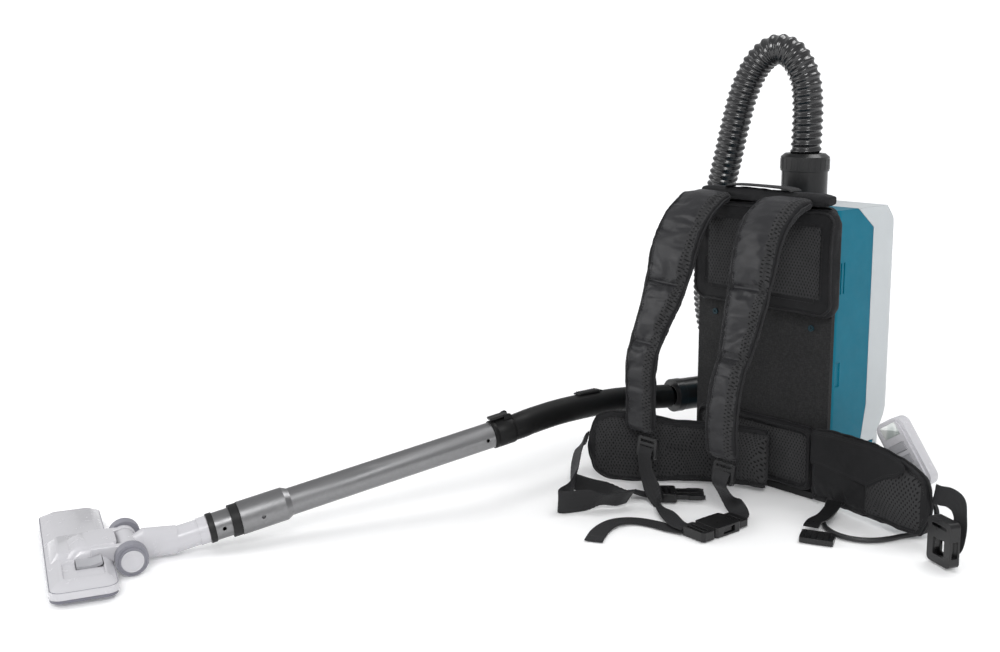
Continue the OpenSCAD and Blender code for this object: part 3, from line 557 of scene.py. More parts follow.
RED = moulded("release_red", (0.30, 0.02, 0.02), 0.42, 0.7, 0.05, 0.6, 0.08)
NOZZLE = moulded("nozzle_white", (0.53, 0.525, 0.55), 0.24, 0.9, 0.0015, 0, coat=0.25, blotch=0.01)
GREY = moulded("nozzle_grey", (0.155, 0.155, 0.185), 0.45, 0.6, 0.05, 0.9, 0.08)
PALE_GREY = moulded("rocker_grey", (0.36, 0.36, 0.38), 0.36, 0.6, 0.03, 0.7, 0.05)
TYRE = rubbery("wheel_grey", (0.22, 0.22, 0.25), 0.5)
CABLE = rubbery("cable_rubber", (0.012, 0.012, 0.013), 0.42)
HOSE = hose_plastic("hose_black", (0.010, 0.010, 0.011))
ALU = brushed("pipe_aluminium", (0.26, 0.26, 0.265), 0.34, (1, 0.03, 0.2))
SPIN_ALU = brushed("impeller_aluminium", (0.66, 0.66, 0.68), 0.28)
MESH = spacer_mesh("mesh_pad", (0.028, 0.028, 0.029))
NYLON = woven("harness_nylon", (0.012, 0.012, 0.014), 0.8, 0.38, 0.15, 0.06, gloss=0.40)
SMOOTH_NYLON = woven("belt_nylon", (0.012, 0.012, 0.013), 1.0, 0.62, 0.2, 0.12, gloss=0.18)
PIPING = woven("edge_binding", (0.011, 0.011, 0.012), 0.9, 0.6, 0.2, 0.12, twill=0.6, gloss=0.25)
WEBBING = webbing("webbing", (0.015, 0.015, 0.016))
THREAD = thread("thread", (0.026, 0.026, 0.027))
BAG = paper("bag_fleece", (0.62, 0.60, 0.55))
CARD = paper("collar_card", (0.42, 0.36, 0.26), 300)
PLEATS = paper("filter_pleats", (0.18, 0.18, 0.19))
COPPER = brushed("motor_copper", (0.50, 0.26, 0.12), 0.35, (1, 1, 0.1), 500)
BOARD = moulded("board_green", (0.015, 0.10, 0.05), 0.40, 0.5, 0.05, 0.4, 0.05)
LENS = lens("window_lens")

NODE_LOOKS = {
    TEAL: ["front_housing"],
    SCREW: ["plate_screws"],
    WHITE: ["rear_cover"],
    PLATE: ["back_plate"],
    FRAME: ["base_foot", "motor_housing", "exhaust_grille", "cover_latch", "battery_left",
            "battery_right", "pipe_ring", "handle_slider", "handle_latch"],
    BUCKLE: ["strap_adjusters", "chest_buckle_socket", "chest_buckle_tongue",
             "waist_buckle_tongue", "waist_buckle_socket", "adjuster_tail"],
    RED: ["battery_button_left", "battery_button_right"],
    PORT: ["inlet_port", "hose_cuff", "handle_cuff"],
    BAG: ["dust_bag"],
    CARD: ["bag_collar"],
    PLEATS: ["filter_cassette"],
    COPPER: ["motor_core", "battery_terminals"],
    BOARD: ["control_board"],
    ALU: ["outer_pipe", "spigot"],
    SPIN_ALU: ["impeller"],
    LENS: ["controller_window"],
    NOZZLE: ["nozzle_shell", "neck_elbow", "controller_shell"],
    GREY: ["nozzle_sole"],
    PALE_GREY: ["nozzle_rocker", "controller_button", "controller_rocker"],
    TYRE: ["nozzle_wheel_left", "nozzle_wheel_right"],
}

for look, nodes in NODE_LOOKS.items():
    for node in nodes:
        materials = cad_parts[node].data.materials
        materials.clear()
        materials.append(look)


# ---- camera, stage and light

def area_light(name, place, target, size, power):
    data = bpy.data.lights.new(name, "AREA")
    data.shape = "DISK"
    data.size = size
    data.energy = power
    made = bpy.data.objects.new(name, data)
    bpy.context.collection.objects.link(made)
    made.location = place
    made.rotation_euler = (Vector(target) - made.location).to_track_quat("-Z", "Y").to_euler()


def camera():
    """A camera fitted to the photograph's view."""
    data = bpy.data.cameras.new("camera")
    data.sensor_width = 36
    data.lens = 43.2
    data.shift_y = -0.07
    data.clip_start = 0.05
    data.clip_end = 60
    made = bpy.data.objects.new("camera", data)
    bpy.context.collection.objects.link(made)
    made.location = (1.05014, -1.45604, 0.60446)
    made.rotation_euler = (math.radians(81.5423), 0, math.radians(48.4907))
    bpy.context.scene.camera = made


LIT_BY_WORLD = 0.55  # the world's strength as a light
SEEN_WORLD = 1.2  # and as the camera sees it


def studio():
    """A near-white world, a pale floor and three soft lights."""
    world = bpy.data.worlds.new("studio")
    world.use_nodes = True
    back = world.node_tree.nodes["Background"]
    back.inputs[0].default_value = (0.985, 0.99, 1.0, 1)
    nodes, links = world.node_tree.nodes, world.node_tree.links
    ray, level = nodes.new("ShaderNodeLightPath"), nodes.new("ShaderNodeMapRange")
    level.inputs["To Min"].default_value = LIT_BY_WORLD
    level.inputs["To Max"].default_value = SEEN_WORLD
    links.new(ray.outputs["Is Camera Ray"], level.inputs["Value"])
    links.new(level.outputs[0], back.inputs[1])
    bpy.context.scene.world = world
    bpy.context.scene.view_settings.view_transform = "Standard"

    s = Shade("studio_floor")
    far = s.ramp(s.node("VectorMath", out=1, settings={"operation": "LENGTH"}, i0=s.place()), 0.5, 3.2)
    grain = s.noise(30, 4, 0.6)
    s.finish(Base_Color=s.clouded((0.93, 0.93, 0.93), (0.85, 0.85, 0.85), grain, 0.3, 0.7, 0.02),
             Roughness=s.ramp(grain, 0.3, 0.7, 0.55, 0.62), Emission_Color=(0.97, 0.98, 1.0),
             Emission_Strength=s.math("MULTIPLY_ADD", far, 0.55, 0.08), Normal=s.bump(grain, 0.05, 0.2))
    floor = skin("studio_floor_sheet", [[Vector((x, y, z)) for x, y in circle(64, r)]
                                        for r, z in ((9000, -1.0), (20, -0.9))], s.material)
    floor.data.flip_normals()

    area_light("key_light", (2.2, -2.6, 2.6), (0, -0.2, 0.25), 1.6, 78)
    area_light("fill_light", (-2.4, -2.6, 1.8), (-0.1, -0.4, 0.2), 2.0, 34)
    area_light("top_light", (0.2, 1.2, 3.2), (0, 0, 0.3), 1.8, 42)


camera()
studio()


# ---- cords

def rib(at, angle, way):
    """Blow-moulded spiral ribs with a smaller ridge between them."""
    turn = (at / HOSE_PITCH - angle / math.tau) * math.tau
    crest = 0.5 + 0.5 * math.cos(turn)
    ridge = 0.5 + 0.5 * math.cos(turn + math.pi)
    return HOSE_VALLEY + (HOSE_RADIUS - HOSE_VALLEY) * (crest ** 1.15 + 0.16 * ridge ** 5)


def cords():
    hose_path = even(spline(HOSE_ROUTE, 12), 1.05)
    hose = tube("ribbed_hose", hose_path, rib, HOSE, 36)
    enter(hose, "hose")

    cable_path = even(spline(CABLE_ROUTE, 10), 2.0)
    cable = tube("controller_cable", cable_path, lambda *_: CABLE_RADIUS, CABLE, 20)
    enter(cable, "control_cable")
    for end, path in (("belt", cable_path[:13]), ("controller", cable_path[::-1][:14])):
        full = length_of(path)

        def taper(at, angle, way):
            groove = 0.35 * (at % 4 < 1.2) * (at > 5)
            return 6.2 - 2.5 * min(1, at / full) ** 0.8 - groove
        relief = tube("cable_relief_" + end, even(path, 0.8), taper, CABLE)
        enter(relief)


cords()


# ---- webbing

def ribbon(name, route, across, width, thick=WEB_THICK, curl=0.0, ripple=0.0, hemmed=False):
    """Flat webbing with rounded edges; curl bows it across, ripple waves it along."""
    path = even(spline(route, 8), 2.0)
    wide = spline(across, 8)
    full = length_of(path)
    row = [-1, -0.97, -0.8, -0.4, 0, 0.4, 0.8, 0.97, 1]
    profile = [(k, (1 - abs(k) ** 10) ** 0.5) for k in row]
    profile += [(k, -(1 - abs(k) ** 10) ** 0.5) for k in row[-2:0:-1]]
    half_w = width / 2
    rings, along, over = [], [], []
    for i, (p, d, at) in enumerate(zip(path, headings(path), stations(path))):
        w = wide[min(len(wide) - 1, round(i / (len(path) - 1) * (len(wide) - 1)))]
        v = d.cross(w).normalized()
        u = v.cross(d)
        half_t = thick / 2
        if hemmed and at > full - HEM:
            half_t *= 1.9
        ring = []
        for k, h in profile:
            lift = curl * (k * k - 0.5) + ripple * math.sin(at / 17.0 + 1.3 * k)
            ring.append(p + half_w * k * u + (half_t * h + lift) * v)
            along.append(at)
            over.append(half_w * k + half_t * h)
        rings.append(ring)
    piece = skin(name, rings, WEBBING)
    co = points_of(piece)
    co[:, 2] = np.maximum(co[:, 2], FLOOR_GAP)
    set_points(piece, co)
    weave(piece, along, over)
    piece.data.set_sharp_from_angle(angle=math.radians(55))
    return piece


def web(node, *shape, **options):
    enter(ribbon(*shape, **options), node)


def webs():
    web("web_left", "web_strap_left",
        [(-68, -182, 74), (-68, -186.5, 66), (-67, -187, 56), (-62, -189, 40), (-46, -195, 22),
         (-22, -207, 10), (8, -224, 6.5), (34, -240, 6.5), (48, -246.6, 6.8), (66, -249, 7.2)],
        [(1, 0, 0), (1, 0, 0), (1, 0, 0), (1, 0.1, 0.1), (0.9, -0.2, 0.4), (0.7, -0.7, 0.1),
         (0.5, -0.87, 0), (0.4, -0.92, 0), (0.25, -0.97, 0), (0.05, -1, 0)], WEB, curl=0.5)
    web("web_right", "web_strap_right",
        [(69, -180, 72), (68, -184.5, 63), (66, -183.5, 53), (63, -172, 41), (64, -160, 27),
         (70, -151.5, 15), (77, -151.5, 8.6), (82.5, -157.5, 7), (84.2, -165, 6.8), (85.5, -174, 6.8)],
        [(1, 0, 0), (1, 0, 0), (1, 0, 0), (1, 0, 0), (1, 0.1, 0), (0.9, 0.4, 0),
         (0.7, 0.7, 0), (0.93, 0.35, 0), (1, 0.05, 0), (1, 0.05, 0)], WEB, curl=0.4)
    web("web_tail", "web_strap_tail",
        [(66, -251.2, 3.4), (60.2, -251.8, 2.6), (40, -257, 1.9), (12, -262, 1.9), (-12, -276, 2.4),
         (-21, -302, 3.2), (-14, -334, 2.2), (4, -366, 1.9)],
        [(0.1, -1, 0), (0.2, -1, 0), (0.2, -1, 0), (0.4, -0.95, 0), (0.8, -0.6, 0), (1, 0, 0),
         (0.95, 0.3, 0), (0.87, 0.5, 0)], WEB, thick=1.5, hemmed=True, ripple=0.25)

    loop = ribbon(
        "belt_web_loop",
        [(-176, -194, 66), (-175, -208, 60), (-170, -222, 46), (-156, -240, 32), (-138, -260, 22),
         (-118, -288, 17.5), (-108, -318, 17.5), (-100, -328, 17.5), (-91, -318, 17.5),
         (-80, -294, 17.5), (-64, -270, 17.5), (-53, -250, 17), (-52, -232, 16.5)],
        [(0.4, 0.3, 0.85), (0.4, 0.3, 0.85), (0.3, 0.3, 0.9), (0.2, 0.3, 0.95), (0, 0.2, 1),
         (0, 0, 1), (0, 0, 1), (0, 0, 1), (0, 0, 1), (0.1, 0, 1), (0.6, -0.3, 0.75),
         (0.6, 0, 0.8), (0.6, 0, 0.8)], BELT, curl=0.8, ripple=0.3)
    branch = ribbon(
        "belt_web_branch",
        [(-138, -260, 22), (-114, -247, 17), (-90, -228, 15), (-70, -202, 10), (-60.5, -190, 6.5),
         (-49, -178, 6.2), (-38, -167, 7.5)],
        [(0, 0, 1), (0, 0, 1), (0.2, -0.2, 0.95), (0.6, -0.6, 0.5), (0.7, -0.7, 0.05),
         (0.7, -0.7, 0), (0.7, -0.7, 0)], WEB)
    enter(join("belt_web_left", [loop, branch]), "waist_web_left")

    web("waist_web_right", "belt_web_right",
        [(306, -46, 72), (318, -54, 74), (334, -60, 77), (349, -67, 74), (357, -75, 64),
         (359, -78, 48), (356, -78, 28), (351, -79, 18)],
        [(0, 0.3, 0.95), (0, 0.3, 0.95), (0.2, 0.3, 0.93), (0.6, 0.1, 0.7), (0.85, -0.35, 0.25),
         (0.93, -0.37, 0), (0.93, -0.37, 0), (0.93, -0.37, 0)], WEB, curl=0.6)
    web("carry_handle", "carry_loop",
        [(-58, -17, 444.5), (-55, -17, 446.9), (-40, -17, 448.6), (0, -17, 449.2),
         (40, -17, 448.6), (55, -17, 446.9), (58, -17, 444.5)],
        [(0, 1, 0)] * 7, 26, thick=2.6, curl=-0.5, ripple=0.2)


webs()


# ---- padded goods

class Run:
    """A centre line with its own directions, to lay a weave along and to measure from."""

    def __init__(self, path, across):
        self.path = path
        self.dirs = headings(path)
        self.out = [d.cross(Vector(across)).normalized() for d in self.dirs]
        self.side = [v.cross(d) for v, d in zip(self.out, self.dirs)]
        self.at = stations(path)
        self.full = self.at[-1]
        self.np = [np.array([list(v) for v in k]) for k in (self.path, self.dirs, self.side, self.out)]

    def turn_out(self):
        """Let the height be measured towards the other side."""
        self.out = [-v for v in self.out]
        self.np[3] = -self.np[3]

    def locate(self, co):
        """Length along, distance across and height out of each point, in millimetres."""
        p, d, u, v = self.np
        best = np.empty(len(co), dtype=int)
        for i in range(0, len(co), 2000):
            part = co[i:i + 2000]
            best[i:i + 2000] = ((part[:, None, :] - p[None, :, :]) ** 2).sum(2).argmin(1)
        rel = co - p[best]
        s = np.array(self.at)[best] + (rel * d[best]).sum(1)
        return s, (rel * u[best]).sum(1), (rel * v[best]).sum(1)

    def point(self, s, u, n):
        """The place at a length along, a distance across and a height out."""
        s, u, n = float(s), float(u), float(n)
        k = min(len(self.path) - 1, max(0, round(s / self.full * (len(self.path) - 1))))
        rest = s - self.at[k]
        return self.path[k] + rest * self.dirs[k] + u * self.side[k] + n * self.out[k]


def boxy(count, power):
    """A soft-cornered closed profile, from -1 to 1 each way."""
    made = []
    for j in range(count):
        a = math.tau * (j + 0.5) / count
        c, s = math.cos(a), math.sin(a)
        made.append((math.copysign(abs(c) ** (2 / power), c), math.copysign(abs(s) ** (2 / power), s)))
    return made


CLOTH_FRAMES = 20


def puff(piece, hold, voxel, cap, pressure, grow):
    """Fill a shape with air as sewn cloth: remesh, inflate, cap the swelling and refine."""
    m = piece.modifiers.new("remesh", "REMESH")
    m.mode = "VOXEL"
    m.voxel_size = voxel * MM
    bake(piece)
    rest = points_of(piece)
    weight = np.clip(hold(rest), 0, 1)
    group = piece.vertex_groups.new(name="hold")
    for i in np.nonzero(weight > 0.02)[0]:
        group.add([int(i)], float(weight[i]), "REPLACE")
    cloth = piece.modifiers.new("cloth", "CLOTH")
    s = cloth.settings
    s.quality = 4
    s.mass = 0.2
    s.tension_stiffness = s.compression_stiffness = 14
    s.shear_stiffness = 5
    s.bending_stiffness = 0.35
    s.use_pressure = True
    s.uniform_pressure_force = pressure
    s.shrink_min = -grow
    s.vertex_group_mass = "hold"
    s.effector_weights.gravity = 0
    cloth.collision_settings.use_collision = False
    cloth.point_cache.frame_start = 1
    cloth.point_cache.frame_end = CLOTH_FRAMES
    for f in range(1, CLOTH_FRAMES + 1):
        bpy.context.scene.frame_set(f)
    shown = piece.evaluated_get(bpy.context.evaluated_depsgraph_get())
    co = np.array([v.co for v in shown.data.vertices]) * 1000
    piece.modifiers.remove(cloth)
    piece.vertex_groups.clear()
    bpy.context.scene.frame_set(1)
    move = np.nan_to_num(co - rest)
    size = np.linalg.norm(move, axis=1, keepdims=True)
    set_points(piece, rest + move * np.minimum(1, cap / np.maximum(size, 1e-6)))
    refine(piece)
    piece.data.shade_smooth()


def carve(piece, amount):
    """Move each point in along its normal by an amount in millimetres."""
    normals = np.empty(len(piece.data.vertices) * 3)
    piece.data.vertex_normals.foreach_get("vector", normals)
    set_points(piece, points_of(piece) - normals.reshape(-1, 3) * amount[:, None])


def bump_at(distance, width):
    """1 at no distance, falling to nothing over about twice the width."""
    return np.exp(-(distance / width) ** 2)


def wrinkle(*place):
    """Smooth noise at each point, from its three coordinates."""
    return np.array([noise.noise(Vector([float(v) for v in p])) for p in np.broadcast(*place)])


def paint(piece, region, looks):
    """A material on each face, chosen by the region number at the middle of the face."""
    piece.data.materials.clear()
    for look in looks:
        piece.data.materials.append(look)
    mid = np.empty(len(piece.data.polygons) * 3)
    piece.data.polygons.foreach_get("center", mid)
    index = region(mid.reshape(-1, 3) * 1000).astype(np.int32)
    piece.data.polygons.foreach_set("material_index", index)


class Surface:
    """Finds the nearest point on a finished piece."""

    def __init__(self, piece):
        mesh = piece.data
        self.tree = BVHTree.FromPolygons([v.co * 1000 for v in mesh.vertices],
                                         [list(p.vertices) for p in mesh.polygons])

    def near(self, p, lift):
        at, normal = self.tree.find_nearest(Vector(p))[:2]
        return at + normal * lift, normal


def stitched(name, surface, lines, lift=0.18):
    """Rows of thread stitches lying on a surface."""
    pitch, length, radius = 3.6, 2.5, 0.42
    swell = ((0, 0.3, -0.5), (0.18, 0.9, 0.1), (0.5, 1.0, 0.35), (0.82, 0.9, 0.1), (1, 0.3, -0.5))
    turns = [math.tau * j / STITCH_SIDES for j in range(STITCH_SIDES)]
    verts, faces = [], []
    for line in lines:
        row = even([Vector(p) for p in line], pitch)
        for a, b in zip(row, row[1:]):
            start, n1 = surface.near(a, lift)
            end, n2 = surface.near(a + (b - a).normalized() * length, lift)
            d = end - start
            if d.length < 0.5:
                continue
            d.normalize()
            n = (n1 + n2).normalized()
            u = d.cross(n).normalized()
            rings = [[start.lerp(end, t) + n * h * radius + radius * r * (math.cos(a) * u + math.sin(a) * n)
                      for a in turns] for t, r, h in swell]
            faces += sleeve(rings, len(verts))
            verts += [p for ring in rings for p in ring]
    enter(mesh_object(name, verts, faces, THREAD))


def piped(name, surface, loop, radius, closed=False):
    """A sewn-in piping cord along a seam, sunk a third of the way into the surface."""
    row = even([Vector(p) for p in loop], PIPING_GAP)
    line = [surface.near(p, radius * 0.3)[0] for p in row]
    for _ in range(3):
        line[1:-1] = [(a + 2 * b + c) / 4 for a, b, c in zip(line, line[1:], line[2:])]
    if closed:
        line[-1] = line[0]
    piece = tube(name, line, lambda *_: radius, PIPING, PIPING_SIDES)
    ring = np.arange(PIPING_SIDES)
    weave(piece, np.repeat(np.arange(len(line)), PIPING_SIDES) * PIPING_GAP,
          np.tile(ring, len(line)) * (math.tau * radius / PIPING_SIDES))
    enter(piece)


def table_of(points):
    """Straight lines through (at, value) points, as a function."""
    xs, ys = zip(*sorted(points))
    return lambda x: float(np.interp(x, xs, ys))


def shoulder_strap(side, route, edges, channels):
    """One quilted shoulder strap: satin outside, mesh inside, bound edges."""
    left_edge, right_edge = (table_of([(row[0], row[k]) for row in edges]) for k in (1, 2))
    path = even(spline([((left_edge(z) + right_edge(z)) / 2, y, z) for y, z in route], 10), 2.5)
    run = Run(path, (1, 0, 0))
    if run.out[len(path) // 2].y > 0:
        run.turn_out()
    halves = np.array([(right_edge(p.z) - left_edge(p.z)) / 2 for p in path])

    def half(s):
        return np.interp(s, run.at, halves)

    def to_channel(s):
        return np.min([np.abs(s - c) for c in channels], axis=0)

    rings = []
    for p, at, wide, u, v in zip(path, run.at, halves, run.side, run.out):
        near = min(to_channel(at), abs(at - run.full) * 1.2 + 3)
        t = STRAP_THICK * 0.42 * (1 - 0.62 * math.exp(-(near / 7.5) ** 2))
        ends = min(1.0, 0.86 + 0.14 * min(at, run.full - at) / 12)
        half_wide = float(wide - 1.2) * ends
        rings.append([p + half_wide * a * u + t * b * v for a, b in boxy(28, 5)])
    piece = skin("shoulder_strap_" + side, rings, NYLON)

    def hold(co):
        s, u, _ = run.locate(co)
        rim = (half(s) - np.abs(u) < 2.5) * 0.9
        return np.maximum(bump_at(to_channel(s), 3.4), np.maximum(rim, bump_at(run.full - s, 6)))
    puff(piece, hold, 4.2, 5.5, 4.5, 0.05)

    s, u, n = run.locate(points_of(piece))
    crease = sum(2.4 * bump_at(s - c, 2.3) * (np.abs(u) < half(s) - 6) for c in channels)
    crease += 1.0 * bump_at(np.abs(u) - (half(s) - BORDER), 1.5) * (n > 0)
    folds = wrinkle(s / 9.0, u / 26.0, 3.1 + path[0].x)
    crease += folds * (0.6 + 1.6 * bump_at(to_channel(s), 18)) * (n > 0)
    carve(piece, crease)
    s, u, n = run.locate(points_of(piece))
    weave(piece, s + 0.4 * n, u + n)

    def region(mid):
        s, u, n = run.locate(mid)
        bound = np.abs(u) > half(s) - BORDER
        side_mesh = (u > half(s) - 18) & (u < half(s) - 4)
        return np.where((n < -1.5) | side_mesh, 2, np.where(bound, 1, 0))
    paint(piece, region, [NYLON, SMOOTH_NYLON, MESH])
    enter(piece, "strap_" + side)

    surface = Surface(piece)
    lines = [[run.point(a, e * (half(a) - inset), 14) for a in np.arange(16, run.full - 6, 4)]
             for e in (-1, 1) for inset in (BORDER + 1.4, BORDER - 2.2)]
    lines += [[run.point(c + off, b, 12) for b in np.arange(-half(c) + BORDER, half(c) - BORDER, 4)]
              for c in channels for off in (-2.4, 2.4)]
    stitched("strap_stitching_" + side, surface, lines)
    for e, tag in ((-1, "a"), (1, "b")):
        seam = [run.point(a, e * (half(a) + 4), 0.5) for a in np.arange(10, run.full - 2, 4)]
        piped(f"strap_piping_{side}_{tag}", surface, seam, 1.9)


def flat_pad(name, node, centre, w, h, corner, zones, border):
    """A mesh pad sewn on the back plate: flat behind, crowned in front, with a bound edge."""
    cx, cz = centre
    outline = round_box(cx, cz, w, h, corner, 8)

    def ring(y, inset):
        kx, kz = (w / 2 - inset) / (w / 2), (h / 2 - inset) / (h / 2)
        return [Vector((cx + (x - cx) * kx, y, cz + (z - cz) * kz)) for x, z in outline]

    def inside(co):
        """How far each point is inside the outline."""
        qx = np.abs(co[:, 0] - cx) - (w / 2 - corner)
        qz = np.abs(co[:, 2] - cz) - (h / 2 - corner)
        far = np.hypot(np.maximum(qx, 0), np.maximum(qz, 0)) + np.minimum(np.maximum(qx, qz), 0)
        return corner - far

    levels = ((PAD_BACK, 1.2), (PAD_BACK - 5, 0.6), (PAD_FRONT + 5.0, 0.8), (PAD_FRONT + 2.4, 4.5))
    piece = skin(name, [ring(*level) for level in levels], MESH)

    def hold(co):
        back = np.clip((co[:, 1] - PAD_BACK + 3.0) / 2.0, 0, 1)
        return np.maximum(back, bump_at(inside(co) - border, 2.5) * (co[:, 1] < PAD_FRONT + 6))
    puff(piece, hold, 5.0, 6.0, 4.0, 0.02)
    co = points_of(piece)
    co[:, 1] = np.clip(co[:, 1], PAD_FRONT - 3.5, PAD_BACK + 0.1)
    set_points(piece, co)
    facing = co[:, 1] < (PAD_BACK + PAD_FRONT) / 2
    deep = 2.6 * bump_at(inside(co) - border, 2.4)
    for x in zones:
        deep += 2.4 * bump_at(co[:, 0] - x, 2.4) * (inside(co) > 9)
    folds = wrinkle(co[:, 0] / 24.0, 0.7, co[:, 2] / 24.0)
    carve(piece, deep * facing + 0.5 * folds * facing)
    co = points_of(piece)
    weave(piece, co[:, 0] + co[:, 1], co[:, 2] + 0.6 * co[:, 1])
    paint(piece, lambda mid: np.where((inside(mid) > border) & (mid[:, 1] < PAD_FRONT + 8), 0, 1),
          [MESH, SMOOTH_NYLON])
    enter(piece, node)

    surface = Surface(piece)
    seam, edge = ring(PAD_FRONT - 8, border - 2.6), ring(PAD_FRONT - 4, 3.0)
    stitched(name + "_stitching", surface, [[*seam, seam[0]]])
    piped(name + "_piping", surface, [*edge, edge[0]], 2.0, closed=True)


def belt_wing(side, plan, high, low, by, channels, tip, oval=0, bare=-math.inf):
    """A padded belt wing along its plan, with its height set by tables of x (by 0) or y (by 1).

    An oval is a second sewn line near the tip. Before the length bare, the front is plain nylon."""
    path = even(spline([(x, y, 0) for x, y in plan], 10), 3.0)
    run = Run(path, (0, 0, 1))
    tops, lows = (np.array([edge(p[by]) for p in path]) for edge in (table_of(high), table_of(low)))
    rings = []
    for p, hi, lo, at, out in zip(path, tops.tolist(), lows.tolist(), run.at, run.out):
        left = run.full - at
        end = 1.0 if left > tip else max(0.05, math.sqrt(max(0.0, 1 - ((tip - left) / tip) ** 2)))
        half = (hi - lo) / 2 * end - 1.5
        t = WING_THICK * 0.40 * min(1.0, 0.8 + at / 60, 0.35 + 0.65 * end)
        centre = Vector((p.x, p.y, (hi + lo) / 2))
        rings.append([centre + max(half, 1.0) * a * Vector((0, 0, 1)) + t * b * out
                      for a, b in boxy(32, 4)])
    piece = skin("belt_wing_" + side, rings, MESH)

    def place(co):
        """Each point's length along, height from the middle and way out, half height and length left."""
        s, _, n = run.locate(np.column_stack([co[:, 0], co[:, 1], np.zeros(len(co))]))
        k = np.clip((s / run.full * (len(path) - 1)).round().astype(int), 0, len(path) - 1)
        left = np.clip(run.full - s, 0, None)
        end = np.sqrt(np.clip(1 - ((tip - np.minimum(left, tip)) / tip) ** 2, 0.0, 1))
        mid, half = (tops[k] + lows[k]) / 2, (tops[k] - lows[k]) / 2 * end
        return s, co[:, 2] - mid, n, np.maximum(half, 0.5), left

    def hold(co):
        s, w, n, half, _ = place(co)
        rim = np.clip(1 - (half - np.abs(w)) / 4.0, 0, 0.9) * (np.abs(n) < WING_THICK * 0.3)
        return np.maximum.reduce([rim, bump_at(s, 6), *(bump_at(s - c, 3.2) for c in channels)])
    puff(piece, hold, 5.0, 6.0, 4.0, 0.04)
    s, w, n, half, left = place(points_of(piece))
    rim = np.minimum(half - np.abs(w), left)
    deep = 1.6 * bump_at(rim - WING_BORDER, 2.0) + sum(1.8 * bump_at(s - c, 2.4) for c in channels)
    if oval:
        deep += (1.8 * bump_at(rim - oval, 2.2) + 1.5 * bump_at(rim - 1.6 * oval, 2.2)) * (left < 82)
    carve(piece, deep + 0.9 * wrinkle(s / 20.0, w / 15.0, 5.5))
    s, w, n, half, left = place(points_of(piece))
    weave(piece, s + n, w + n)

    def region(mid):
        s, w, _, half, left = place(mid)
        return np.where((np.minimum(half - np.abs(w), left) < WING_BORDER) | (s < bare), 1, 0)
    paint(piece, region, [MESH, SMOOTH_NYLON])
    enter(piece, side + "_wing")

    surface = Surface(piece)
    _, w, _, half, _ = place(np.array([[p.x, p.y, 0.0] for p in path]))
    lines = {}
    for k in (1, -1):
        lines[k] = [Vector((p.x, p.y, -a + k * (h + 4))) for p, h, a in zip(path, half, w)]
    end = path[-1] + 6 * run.dirs[-1]
    end.z = (lines[1][-1].z + lines[-1][-1].z) / 2
    piped("belt_piping_" + side, surface, [*lines[1], end, *lines[-1][::-1]], 1.8)
    rows = [[Vector((p.x, p.y, -a + k * (h - 7.5))) + (-14 if d.y > 0 else 14) * d
             for p, h, a, d in zip(path, half, w, run.out) if h > 16] for k in (-1, 1)]
    stitched("belt_stitching_" + side, surface, rows)


# ---- the harness

STRAP_LEFT = [(-34.2, 431), (-60, 425), (-92, 402), (-117, 366), (-130, 326), (-143, 285),
              (-162, 244), (-180, 200), (-182, 150), (-180, 94)]
STRAP_RIGHT = [(-34.2, 431), (-62, 426), (-92, 407), (-110, 380), (-122, 342), (-136, 290),
               (-155, 240), (-179, 188), (-186, 135), (-181, 90)]
shoulder_strap("left", STRAP_LEFT,
               [(470, -118, -36), (340, -119, -34), (300, -116, -40), (260, -115, -49), (215, -112, -55),
                (150, -109, -54), (80, -109, -54)], (170, 262))
shoulder_strap("right", STRAP_RIGHT,
               [(470, 20, 102), (340, 27, 102), (300, 29, 99), (260, 35, 96), (215, 43, 94), (150, 42, 95),
                (80, 43, 95)], (161, 260))
flat_pad("back_pad", "upper_back_pad", (7, 346), 250, 156, 22, (), 27)
flat_pad("lumbar_cushion", "lumbar_pad", (0, 60), 212, 96, 18, (-34, 34), 12)


belt_wing("left", [(44, -43.5), (12, -50), (-20, -61), (-63, -93), (-113, -150), (-162, -206)],
          [(-30, 100), (-70, 96), (-110, 100), (-150, 112), (-180, 115), (-196, 108), (-206, 90)],
          [(-30, 12), (-60, 4.5), (-165, 4), (-185, 9), (-200, 22), (-206, 34)], 1, (86, 168), 16,
          oval=24)
belt_wing("right", [(107.8, -21.4), (150, -25), (200, -36), (255, -46), (304, -50)],
          [(90, 108), (165, 116), (215, 116), (262, 109), (300, 92), (318, 66)],
          [(90, 5), (235, 9.4), (290, 9.4), (304, 20), (318, 34)], 0, (100,), 14, bare=104)


